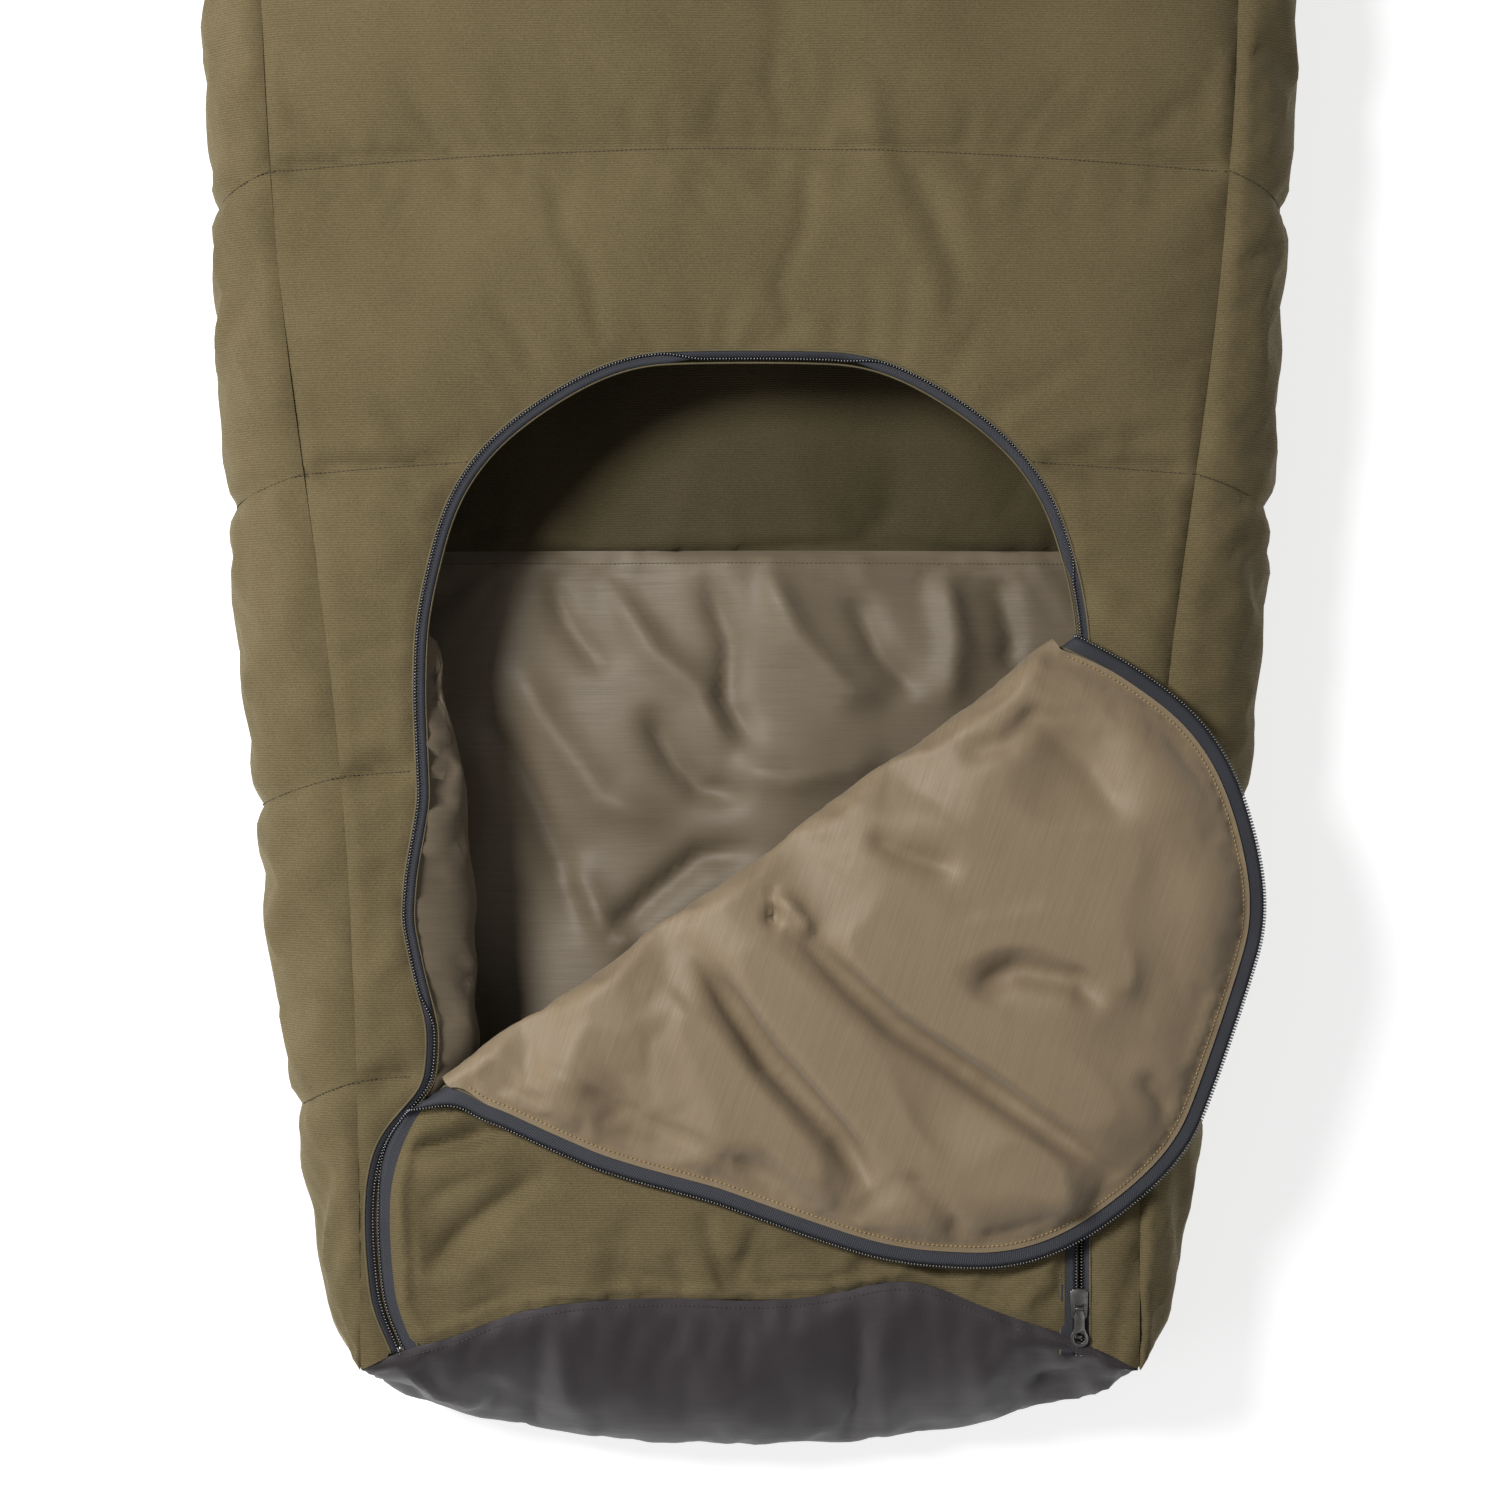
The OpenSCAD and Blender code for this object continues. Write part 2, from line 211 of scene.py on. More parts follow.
def cutPanel(outline, lines, step, coarse=None, coarseFrom=1e9):
    # even triangles over a cut of cloth, with edges along its outline and its stitch lines
    corners = resample(np.vstack([outline, outline[:1]]), step)[:-1]
    low, high = corners.min(0), corners.max(0)
    grids = []
    for size, start, end in [(step, low[1], min(high[1], coarseFrom)), (coarse or step, coarseFrom, high[1])]:
        if end <= start:
            continue
        rows = np.arange(start, end, size * 0.866)
        for k, row in enumerate(rows):
            xs = np.arange(low[0] + (size / 2 if k % 2 else 0), high[0], size)
            grids.append(np.column_stack([xs, np.full(len(xs), row)]))
    field = np.vstack(grids)
    field = field[inside(field, corners)]
    seams = [resample(line, step) for line in lines]
    for line in seams + [np.vstack([corners, corners[:1]])]:
        field = field[toLine(field, line)[0] > step * 0.45]
    points = [tuple(p) for p in corners]
    edges = []
    for line in seams:
        first = len(points)
        points += [tuple(p) for p in line]
        edges += [(i, i + 1) for i in range(first, len(points) - 1)]
    points += [tuple(p) for p in field]
    spots, _, faces, _, _, _ = delaunay_2d_cdt(points, edges, [list(range(len(corners)))], 1, 1e-4)
    flat = np.array([(p.x, p.y) for p in spots])
    middles = np.array([flat[list(f)].mean(0) for f in faces])
    faces = [list(f) for f, kept in zip(faces, inside(middles, corners)) if kept]
    used = sorted({i for f in faces for i in f})
    renumber = {old: new for new, old in enumerate(used)}
    flat = flat[used]
    faces = [[renumber[i] for i in f] for f in faces]
    rim = toLine(flat, np.vstack([corners, corners[:1]]))[0] < 0.6
    stitched = np.zeros(len(flat), bool)
    for line in seams:
        stitched |= toLine(flat, line)[0] < 0.6
    return flat, faces, rim, stitched


def leftShift(s):
    # the left strand hangs a little off the cut line, and swells outwards beside the flap's base
    marks = [60, 76, 97, 113, 143, 167, 190, 210, 222, 232, 242,
             250, 258, 280, 298, 326, 368, 398, 449, 517, 600, 700]
    moves = [-8, -12, -22, -27, -30, -31, -30, -26, -21, -14, -5, 3, 9, 11, 11, 3, -6, -4, 5, 2, 3, 0]
    fine = np.arange(40, 720, 2.0)
    rough = np.interp(fine, marks, moves)
    evenOut(rough, 24)
    return np.interp(s, fine, rough)


def makeZipLine():
    half, radius = plan["zipHalf"], plan["archRadius"]
    low = plan["chainStart"] - 18
    right = [(half, s) for s in np.arange(low, plan["archSide"], 4)]
    turns = np.radians(np.arange(0, 90.1, 1.5))
    middle, side = plan["archMiddle"], plan["archSide"]
    arcRight = [(middle + radius * math.cos(a), side + radius * math.sin(a)) for a in turns]
    arcLeft = [(-x, s) for x, s in reversed(arcRight)]
    left = [(-half, s) for s in np.arange(plan["archSide"], low - 0.1, -4)]
    line = resample(np.array(right + arcRight + arcLeft + left), 3)
    d = np.gradient(line, axis=0)
    d /= np.hypot(*d.T)[:, None]
    inward = np.column_stack([-d[:, 1], d[:, 0]])
    # the arch draws in by a few millimetres, most of all at its two round corners
    height = np.clip((line[:, 1] - 560) / 60, 0, 1)
    corner = bell(np.abs(line[:, 0]), 62, 150)
    draw = (7 + 9 * corner) * smooth(height)
    evenOut(draw, 60)
    return line, inward, draw


zipLine, zipInward, zipDraw = makeZipLine()


def zipOffset(d, body=True):
    # the zip's line moved by d towards the middle of the opening; the flap's edge is the straighter one
    line = zipLine + zipInward * (zipDraw + d)[:, None]
    onLeft = smooth((-zipLine[:, 0] - 60) / 140)
    calm = 1 if body else 1 - 0.6 * smooth((zipLine[:, 1] - 258) / 30)
    line[:, 0] += onLeft * leftShift(zipLine[:, 1]) * calm
    return line


def leftTurn(d):
    # the left side of the flap's base, from the end of the fold round a soft corner and down to the foot
    line = zipOffset(d, body=False)
    left = line[len(line) // 2:]
    k = int(np.argmax(foldSide(left) > 0))
    a, b = left[k - 1], left[k]
    start = crossFold(a, b)
    low = left[left[:, 1] < 178]
    reach = 1 - d / 50
    u = np.linspace(0, 1, 26)[:, None]
    bend = bezier(start, start + np.array([-19, -8]) * reach, low[0] + np.array([0, 40]) * reach, low[0], u)
    return np.vstack([bend, low[1:]]), len(line) // 2 + k


def foldSide(points):
    return (np.asarray(points)[..., :2] - foldMiddle) @ foldAcross


def crossFold(a, b):
    # where a short stretch of a line meets the fold
    return a + (b - a) * foldSide(a) / (foldSide(a) - foldSide(b))


def foldOver(points):
    # the flat, closed flap turned over the fold line
    points = np.asarray(points, float)
    out = points.copy()
    out[:, :2] = points[:, :2] - 2 * foldSide(points)[:, None] * foldAcross
    return out


def world(points):
    points = np.asarray(points, float) / 1000
    points[:, 1] += footY
    return points


def makeMesh(name, points, faces, edges=()):
    mesh = bpy.data.meshes.new(name)
    mesh.from_pydata([tuple(p) for p in world(points)], list(edges), faces)
    mesh.update()
    piece = bpy.data.objects.new(name, mesh)
    bpy.context.scene.collection.objects.link(piece)
    for polygon in mesh.polygons:
        polygon.use_smooth = True
    return piece


def coordsOf(mesh):
    flat = np.empty(len(mesh.vertices) * 3)
    mesh.vertices.foreach_get("co", flat)
    return flat.reshape(-1, 3)


def setCoords(mesh, points):
    mesh.vertices.foreach_set("co", np.asarray(points, float).ravel())
    mesh.update()


def normalsOf(mesh):
    flat = np.empty(len(mesh.vertices) * 3)
    mesh.vertices.foreach_get("normal", flat)
    return flat.reshape(-1, 3)


def refine(piece):
    sub = piece.modifiers.new("refine", "SUBSURF")
    sub.levels = sub.render_levels = 1
    bake(piece)


def bake(piece):
    depsgraph = bpy.context.evaluated_depsgraph_get()
    mesh = bpy.data.meshes.new_from_object(piece.evaluated_get(depsgraph), depsgraph=depsgraph)
    mesh.name = piece.name
    piece.modifiers.clear()
    old = piece.data
    piece.data = mesh
    if old.users == 0:
        bpy.data.meshes.remove(old)


groundGap = 0.4
clothRun = {"frames": 22, "quality": 4, "mass": 0.3, "tension": 20, "bending": 0.25}
waiting = []


def addCloth(piece, held, pressure, grow, cap, stiff=1.0):
    # puffs between its seams when all the cloths are run together
    group = piece.vertex_groups.new(name="held")
    group.add([int(i) for i in np.nonzero(held)[0]], 1, "REPLACE")
    cloth = piece.modifiers.new("puff", "CLOTH")
    settings = cloth.settings
    settings.quality = clothRun["quality"]
    settings.mass = clothRun["mass"]
    settings.tension_stiffness = clothRun["tension"]
    settings.compression_stiffness = clothRun["tension"]
    settings.shear_stiffness = clothRun["tension"] / 2
    settings.bending_stiffness = clothRun["bending"] * stiff
    settings.use_pressure = True
    settings.uniform_pressure_force = pressure
    settings.shrink_min = -grow
    settings.effector_weights.gravity = 0
    settings.vertex_group_mass = "held"
    waiting.append((piece, coordsOf(piece.data).copy(), cap))


def runCloths():
    scene = bpy.context.scene
    for step in range(1, clothRun["frames"] + 1):
        scene.frame_set(step)
    depsgraph = bpy.context.evaluated_depsgraph_get()
    for piece, rest, cap in waiting:
        moved = coordsOf(piece.evaluated_get(depsgraph).data)
        change = moved - rest
        size = np.linalg.norm(change, axis=1)
        limit = cap / 1000
        keep = np.where(size > 1e-9, limit * np.tanh(size / limit) / np.maximum(size, 1e-9), 1)
        setCoords(piece.data, rest + change * keep[:, None])
        piece.modifiers.clear()
        piece.vertex_groups.clear()
    scene.frame_set(1)
    print("cloths have puffed", len(waiting))


def pushOut(piece, amount):
    # moves each point along its normal, in millimetres
    mesh = piece.data
    setCoords(mesh, coordsOf(mesh) + normalsOf(mesh) * (np.asarray(amount) / 1000)[:, None])


def clampHeight(piece, low, high=1000.0):
    # keeps a finished piece between two heights, in millimetres
    co = coordsOf(piece.data)
    co[:, 2] = np.clip(co[:, 2], low / 1000, high / 1000)
    setCoords(piece.data, co)


def puckers(flat, line, reach, pitch, height, seed):
    # short gathers that run away from a stitch line
    gap, along = toLine(flat, line)
    rng = np.random.default_rng(seed)
    marks = np.arange(-pitch, along.max() + 2 * pitch, pitch)
    marks += rng.uniform(-0.35, 0.35, len(marks)) * pitch
    strength = rng.uniform(0.15, 1, len(marks)) * height
    reachEach = reach * rng.uniform(0.5, 1.4, len(marks))
    lean = rng.uniform(-0.35, 0.35, len(marks))
    total = np.zeros(len(flat))
    close = gap < reach * 3
    for mark, power, far, slant in zip(marks, strength, reachEach, lean):
        width = pitch * 0.22 + gap[close] * 0.09
        ridge = np.exp(-((along[close] - mark - slant * gap[close]) / width) ** 2)
        total[close] += power * ridge * np.exp(-gap[close] / far) * smooth(gap[close] / 4)
    return total


def folds(flat, features):
    # each feature is a line of points, its depth and its width; negative depth is a valley
    total = np.zeros(len(flat))
    for line, depth, width in features:
        gap, along = toLine(flat, np.array(line, float))
        run = np.clip(along / max(along.max(), 1e-6), 0, 1)
        ends = smooth(run / 0.25) * smooth((1 - run) / 0.25)
        ends = np.where((run <= 0) | (run >= 1), 0, ends)
        total += depth * ends * np.exp(-(gap / width) ** 1.6)
    return total


def makeGroup(name, inputs, outputs):
    group = bpy.data.node_groups.new(name, "ShaderNodeTree")
    for label, kind, value in inputs:
        socket = group.interface.new_socket(name=label, in_out="INPUT", socket_type=kind)
        if value is not None:
            socket.default_value = value
    for label, kind in outputs:
        group.interface.new_socket(name=label, in_out="OUTPUT", socket_type=kind)
    entry = group.nodes.new("NodeGroupInput")
    leave = group.nodes.new("NodeGroupOutput")
    return group, entry, leave


def addNode(tree, kind, values=None, **settings):
    node = tree.nodes.new(kind)
    for key, value in settings.items():
        setattr(node, key, value)
    for key, value in (values or {}).items():
        node.inputs[key].default_value = value
    return node


def makeMottle():
    # two sizes of noise that lighten and darken a cloth unevenly
    group, entry, leave = makeGroup(
        "mottle",
        [("Vector", "NodeSocketVector", None), ("Broad", "NodeSocketFloat", 9.0),
         ("Fine", "NodeSocketFloat", 700.0), ("Share", "NodeSocketFloat", 0.5)],
        [("Mask", "NodeSocketFloat")])
    broad = addNode(group, "ShaderNodeTexNoise", {"Detail": 4.0, "Roughness": 0.6})
    fine = addNode(group, "ShaderNodeTexNoise", {"Detail": 3.0, "Roughness": 0.7})
    mix = addNode(group, "ShaderNodeMix")
    link = group.links.new
    link(entry.outputs["Vector"], broad.inputs["Vector"])
    link(entry.outputs["Vector"], fine.inputs["Vector"])
    link(entry.outputs["Broad"], broad.inputs["Scale"])
    link(entry.outputs["Fine"], fine.inputs["Scale"])
    link(entry.outputs["Share"], mix.inputs["Factor"])
    link(broad.outputs["Fac"], mix.inputs["A"])
    link(fine.outputs["Fac"], mix.inputs["B"])
    link(mix.outputs["Result"], leave.inputs["Mask"])
    return group


def makeRibs():
    # fine ribs across the cloth, broken up by nap
    group, entry, leave = makeGroup(
        "ribs",
        [("Vector", "NodeSocketVector", None), ("Scale", "NodeSocketFloat", 190.0),
         ("Wobble", "NodeSocketFloat", 1.5), ("Nap", "NodeSocketFloat", 1400.0)],
        [("Height", "NodeSocketFloat")])
    wave = addNode(group, "ShaderNodeTexWave", {"Detail": 2.0, "Detail Scale": 2.5}, bands_direction="Y")
    nap = addNode(group, "ShaderNodeTexNoise", {"Detail": 2.0})
    mix = addNode(group, "ShaderNodeMix", {"Factor": 0.45})
    link = group.links.new
    link(entry.outputs["Vector"], wave.inputs["Vector"])
    link(entry.outputs["Vector"], nap.inputs["Vector"])
    link(entry.outputs["Scale"], wave.inputs["Scale"])
    link(entry.outputs["Wobble"], wave.inputs["Distortion"])
    link(entry.outputs["Nap"], nap.inputs["Scale"])
    link(wave.outputs["Fac"], mix.inputs["A"])
    link(nap.outputs["Fac"], mix.inputs["B"])
    link(mix.outputs["Result"], leave.inputs["Height"])
    return group


def makeWeave():
    # a plain weave with thicker threads here and there
    group, entry, leave = makeGroup(
        "weave",
        [("Vector", "NodeSocketVector", None), ("Scale", "NodeSocketFloat", 420.0),
         ("Slubs", "NodeSocketFloat", 1.0)],
        [("Height", "NodeSocketFloat"), ("Slub", "NodeSocketFloat")])
    link = group.links.new
    waves = []
    for direction in ("X", "Y"):
        values = {"Distortion": 0.6, "Detail": 1.0}
        wave = addNode(group, "ShaderNodeTexWave", values, bands_direction=direction)
        link(entry.outputs["Vector"], wave.inputs["Vector"])
        link(entry.outputs["Scale"], wave.inputs["Scale"])
        waves.append(wave)
    cross = addNode(group, "ShaderNodeMath", operation="MAXIMUM")
    link(waves[0].outputs["Fac"], cross.inputs[0])
    link(waves[1].outputs["Fac"], cross.inputs[1])
    stretch = addNode(group, "ShaderNodeMapping")
    stretch.inputs["Scale"].default_value = (22, 1300, 22)
    slub = addNode(group, "ShaderNodeTexNoise", {"Scale": 1.0, "Detail": 3.0, "Roughness": 0.65})
    link(entry.outputs["Vector"], stretch.inputs["Vector"])
    link(stretch.outputs["Vector"], slub.inputs["Vector"])
    link(cross.outputs["Value"], leave.inputs["Height"])
    link(slub.outputs["Fac"], leave.inputs["Slub"])
    return group


mottleGroup = makeMottle()
ribsGroup = makeRibs()
weaveGroup = makeWeave()


def startMaterial(name, turn=0.0, useUv=False):
    material = bpy.data.materials.new(name)
    material.use_nodes = True
    tree = material.node_tree
    shader = tree.nodes["Principled BSDF"]
    place = addNode(tree, "ShaderNodeTexCoord")
    turnNode = addNode(tree, "ShaderNodeMapping")
    turnNode.inputs["Rotation"].default_value = (0, 0, turn)
    tree.links.new(place.outputs["UV" if useUv else "Object"], turnNode.inputs["Vector"])
    return material, tree, shader, turnNode.outputs["Vector"]


def colourBetween(tree, mask, dark, light, low=0.35, high=0.65):
    ramp = addNode(tree, "ShaderNodeValToRGB")
    ramp.color_ramp.elements[0].position = low
    ramp.color_ramp.elements[0].color = (*dark, 1)
    ramp.color_ramp.elements[1].position = high
    ramp.color_ramp.elements[1].color = (*light, 1)
    tree.links.new(mask, ramp.inputs["Fac"])
    return ramp.outputs["Color"]


def spread(tree, value, low, high):
    values = {"From Min": 0.25, "From Max": 0.75, "To Min": low, "To Max": high}
    node = addNode(tree, "ShaderNodeMapRange", values)
    tree.links.new(value, node.inputs["Value"])
    return node.outputs["Result"]


def addBump(tree, shader, height, strength, distance):
    bump = addNode(tree, "ShaderNodeBump", {"Strength": strength, "Distance": distance})
    tree.links.new(height, bump.inputs["Height"])
    tree.links.new(bump.outputs["Normal"], shader.inputs["Normal"])


def addTone(tree, vector, broad, fine, share=0.5):
    values = {"Broad": broad, "Fine": fine, "Share": share}
    tone = addNode(tree, "ShaderNodeGroup", values, node_tree=mottleGroup)
    tree.links.new(vector, tone.inputs["Vector"])
    return tone.outputs["Mask"]


def makeTricot(name, dark, light, look):
    # brushed tricot: fine ribs, short nap, a little sheen
    material, tree, shader, vector = startMaterial(name)
    tone = addTone(tree, vector, look["broad"], look["fine"], 0.55)
    ribs = addNode(tree, "ShaderNodeGroup", node_tree=ribsGroup)
    ribs.inputs["Scale"].default_value = look["ribs"]
    tree.links.new(vector, ribs.inputs["Vector"])
    blend = addNode(tree, "ShaderNodeMix", {"Factor": look["ribShare"]})
    tree.links.new(tone, blend.inputs["A"])
    tree.links.new(ribs.outputs["Height"], blend.inputs["B"])
    tree.links.new(colourBetween(tree, blend.outputs["Result"], dark, light), shader.inputs["Base Color"])
    tree.links.new(spread(tree, tone, 0.95, 0.8), shader.inputs["Roughness"])
    shader.inputs["Sheen Weight"].default_value = look["sheen"]
    shader.inputs["Sheen Roughness"].default_value = 0.45
    shader.inputs["Sheen Tint"].default_value = (*look["sheenTint"], 1)
    shader.inputs["Specular IOR Level"].default_value = 0.2
    addBump(tree, shader, ribs.outputs["Height"], 0.5, 0.0006)
    return material


def makeTaffeta(name, dark, light, look, turn=0.0):
    # thin coated weave with thick threads, half glossy
    material, tree, shader, vector = startMaterial(name, turn)
    tone = addTone(tree, vector, 7.0, 900.0, 0.35)
    weave = addNode(tree, "ShaderNodeGroup", node_tree=weaveGroup)
    weave.inputs["Scale"].default_value = look["weave"]
    tree.links.new(vector, weave.inputs["Vector"])
    blend = addNode(tree, "ShaderNodeMix", {"Factor": look["slubShare"]})
    tree.links.new(tone, blend.inputs["A"])
    tree.links.new(weave.outputs["Slub"], blend.inputs["B"])
    colour = colourBetween(tree, blend.outputs["Result"], dark, light, 0.3, 0.7)
    tree.links.new(colour, shader.inputs["Base Color"])
    tree.links.new(spread(tree, weave.outputs["Slub"], look["rough"] + 0.07, look["rough"] - 0.07),
                   shader.inputs["Roughness"])
    shader.inputs["Sheen Weight"].default_value = 0.12
    shader.inputs["Specular IOR Level"].default_value = look["gloss"]
    lift = addNode(tree, "ShaderNodeMix", {"Factor": 0.5})
    tree.links.new(weave.outputs["Height"], lift.inputs["A"])
    tree.links.new(weave.outputs["Slub"], lift.inputs["B"])
    addBump(tree, shader, lift.outputs["Result"], look["bump"], 0.0004)
    return material


def makePlain(name, dark, light, rough, metallic=0.0, broad=40.0, fine=2500.0, bump=0.3):
    # thread, coil and metal
    material, tree, shader, vector = startMaterial(name)
    tone = addTone(tree, vector, broad, fine)
    tree.links.new(colourBetween(tree, tone, dark, light), shader.inputs["Base Color"])
    tree.links.new(spread(tree, tone, rough + 0.08, rough - 0.08), shader.inputs["Roughness"])
    shader.inputs["Metallic"].default_value = metallic
    addBump(tree, shader, tone, bump, 0.0002)
    return material


def makeTwill(name, dark, light):
    # woven tape: slanting ribs along its own length
    material, tree, shader, vector = startMaterial(name, useUv=True)
    tone = addTone(tree, vector, 30.0, 1500.0)
    wave = addNode(tree, "ShaderNodeTexWave", {"Scale": 420.0, "Distortion": 0.6}, bands_direction="DIAGONAL")
    tree.links.new(vector, wave.inputs["Vector"])
    blend = addNode(tree, "ShaderNodeMix", {"Factor": 0.25})
    tree.links.new(tone, blend.inputs["A"])
    tree.links.new(wave.outputs["Fac"], blend.inputs["B"])
    colour = colourBetween(tree, blend.outputs["Result"], dark, light, 0.25, 0.75)
    tree.links.new(colour, shader.inputs["Base Color"])
    tree.links.new(spread(tree, wave.outputs["Fac"], 0.8, 0.65), shader.inputs["Roughness"])
    addBump(tree, shader, wave.outputs["Fac"], 0.5, 0.0003)
    return material


def makeCoilPlastic(name, dark, light, paintedHighlight):
    # round nylon teeth: dark and glossy, with a painted highlight: the faces that point up are coloured pale
    material, tree, shader, vector = startMaterial(name)
    tone = addTone(tree, vector, 40.0, 2500.0)
    # painted highlight: where the surface faces straight up, the colour is mixed towards the pale highlight
    # colour
    facing = addNode(tree, "ShaderNodeNewGeometry")
    parts = addNode(tree, "ShaderNodeSeparateXYZ")
    top = addNode(tree, "ShaderNodeMapRange", {"From Min": 0.9, "From Max": 0.985})
    body = colourBetween(tree, tone, dark, light)
    mix = addNode(tree, "ShaderNodeMix", data_type="RGBA")
    colourA = [s for s in mix.inputs if s.name == "A" and s.type == "RGBA"][0]
    colourB = [s for s in mix.inputs if s.name == "B" and s.type == "RGBA"][0]
    result = [s for s in mix.outputs if s.type == "RGBA"][0]
    tree.links.new(facing.outputs["Normal"], parts.inputs["Vector"])
    tree.links.new(parts.outputs["Z"], top.inputs["Value"])
    tree.links.new(top.outputs["Result"], mix.inputs["Factor"])
    tree.links.new(body, colourA)
    colourB.default_value = (*paintedHighlight, 1)
    tree.links.new(result, shader.inputs["Base Color"])
    tree.links.new(spread(tree, tone, 0.34, 0.22), shader.inputs["Roughness"])
    return material


tricotLook = {"broad": 8.0, "fine": 650.0, "ribs": 190.0, "ribShare": 0.3,
              "sheen": 0.2, "sheenTint": (0.9, 0.8, 0.52)}
innerLook = dict(tricotLook, sheen=0.15)
taffetaLook = {"weave": 420.0, "slubShare": 0.4, "rough": 0.56, "gloss": 0.35, "bump": 0.25}
capLook = {"weave": 520.0, "slubShare": 0.15, "rough": 0.55, "gloss": 0.28, "bump": 0.3}

oliveTricot = makeTricot("oliveTricot", (0.0755, 0.0575, 0.0262), (0.144, 0.111, 0.0545), tricotLook)
# the upper back lining is olive tricot; its colour is set at about half the outer olive's, painted shade for
# the dim inside of the bag
oliveInnerShaded = makeTricot("oliveInnerShaded", (0.035, 0.0275, 0.0125), (0.068, 0.053, 0.025), innerLook)
# painted shade: the lining taffeta comes in copies of one cloth; this one, for the linings inside the bag, is
# coloured darker than the folded flap's copy
taffetaInShade = makeTaffeta("tanTaffetaInShade", (0.098, 0.074, 0.046), (0.165, 0.129, 0.085), taffetaLook)
# painted shade: a still darker copy of the lining taffeta, for the side linings deep in the bag
taffetaPaintedShade = makeTaffeta("tanTaffetaPaintedShade", (0.04, 0.032, 0.02), (0.07, 0.056, 0.036), taffetaLook)
# painted light: the folded flap's copy of the same taffeta is coloured about half as bright again, for the
# lit top of the fold; its weave is also turned with the fold
taffetaFoldedLit = makeTaffeta("tanTaffetaFoldedLit", (0.15, 0.108, 0.062), (0.245, 0.183, 0.112), taffetaLook,
                            -2 * foldAngle)
charcoalCloth = makeTaffeta("charcoalCloth", (0.018, 0.0145, 0.0155), (0.043, 0.035, 0.0375), capLook)
tapeTwill = makeTwill("tapeTwill", (0.0105, 0.011, 0.015), (0.031, 0.033, 0.043))
# the last colour is a painted highlight for the teeth's upward faces
coilPlastic = makeCoilPlastic("coilPlastic", (0.006, 0.006, 0.007), (0.02, 0.02, 0.023), (0.42, 0.43, 0.46))
goldThread = makePlain("goldThread", (0.22, 0.14, 0.055), (0.36, 0.25, 0.11), 0.65)
oliveThread = makePlain("oliveThread", (0.07, 0.055, 0.026), (0.12, 0.095, 0.045), 0.75)
# the quilting thread is real, but it is coloured near black so that its row also stands for the shade in the
# stitched crease: partly painted shade
quiltThreadAndShade = makePlain("quiltThreadAndShade", (0.022, 0.017, 0.008), (0.045, 0.035, 0.017), 0.8)
darkThread = makePlain("darkThread", (0.02, 0.018, 0.02), (0.05, 0.045, 0.05), 0.7)
sliderMetal = makePlain("sliderMetal", (0.11, 0.105, 0.1), (0.3, 0.285, 0.27), 0.3, metallic=1.0, broad=200.0)
print("finishes are made")


def makeBeadTree():
    # beads along an edge: resample, place, make real, paint
    tree = bpy.data.node_groups.new("beadsAlong", "GeometryNodeTree")
    for label, kind, value in [("Path", "NodeSocketGeometry", None), ("Pitch", "NodeSocketFloat", 0.0017),
                               ("Along", "NodeSocketFloat", 0.0007), ("Across", "NodeSocketFloat", 0.0011),
                               ("Height", "NodeSocketFloat", 0.001), ("Finish", "NodeSocketMaterial", None)]:
        socket = tree.interface.new_socket(name=label, in_out="INPUT", socket_type=kind)
        if value is not None:
            socket.default_value = value
    tree.interface.new_socket(name="Beads", in_out="OUTPUT", socket_type="NodeSocketGeometry")
    entry = tree.nodes.new("NodeGroupInput")
    leave = tree.nodes.new("NodeGroupOutput")
    curve = tree.nodes.new("GeometryNodeMeshToCurve")
    points = tree.nodes.new("GeometryNodeResampleCurve")
    points.mode = "LENGTH"
    tangent = tree.nodes.new("GeometryNodeInputTangent")
    align = tree.nodes.new("FunctionNodeAlignRotationToVector")
    align.axis = "X"
    bead = tree.nodes.new("GeometryNodeMeshUVSphere")
    bead.inputs["Segments"].default_value = 7
    bead.inputs["Rings"].default_value = 4
    bead.inputs["Radius"].default_value = 1.0
    size = tree.nodes.new("ShaderNodeCombineXYZ")
    place = tree.nodes.new("GeometryNodeInstanceOnPoints")
    real = tree.nodes.new("GeometryNodeRealizeInstances")
    soft = tree.nodes.new("GeometryNodeSetShadeSmooth")
    paint = tree.nodes.new("GeometryNodeSetMaterial")
    link = tree.links.new
    link(entry.outputs["Path"], curve.inputs["Mesh"])
    link(curve.outputs["Curve"], points.inputs["Curve"])
    link(entry.outputs["Pitch"], points.inputs["Length"])
    link(tangent.outputs["Tangent"], align.inputs["Vector"])
    link(entry.outputs["Along"], size.inputs["X"])
    link(entry.outputs["Across"], size.inputs["Y"])
    link(entry.outputs["Height"], size.inputs["Z"])
    link(points.outputs["Curve"], place.inputs["Points"])
    link(bead.outputs["Mesh"], place.inputs["Instance"])
    link(align.outputs["Rotation"], place.inputs["Rotation"])
    link(size.outputs["Vector"], place.inputs["Scale"])
    link(place.outputs["Instances"], soft.inputs["Geometry"])
    link(soft.outputs["Geometry"], real.inputs["Geometry"])
    link(real.outputs["Geometry"], paint.inputs["Geometry"])
    link(entry.outputs["Finish"], paint.inputs["Material"])
    link(paint.outputs["Geometry"], leave.inputs["Beads"])
    return tree


beadTree = makeBeadTree()


def beadsAlong(name, lines, sizes, material):
    # lines are lists of points in millimetres; sizes are in millimetres too
    points, edges = [], []
    for line in lines:
        first = len(points)
        points += [tuple(p) for p in line]
        edges += [(i, i + 1) for i in range(first, len(points) - 1)]
    piece = makeMesh(name, np.array(points), [], edges)
    modifier = piece.modifiers.new("beads", "NODES")
    modifier.node_group = beadTree
    ids = {item.name: item.identifier for item in beadTree.interface.items_tree if item.in_out == "INPUT"}
    for label in ("Pitch", "Along", "Across", "Height"):
        modifier[ids[label]] = sizes[label] / 1000
    modifier[ids["Finish"]] = material
    bake(piece)
    return piece


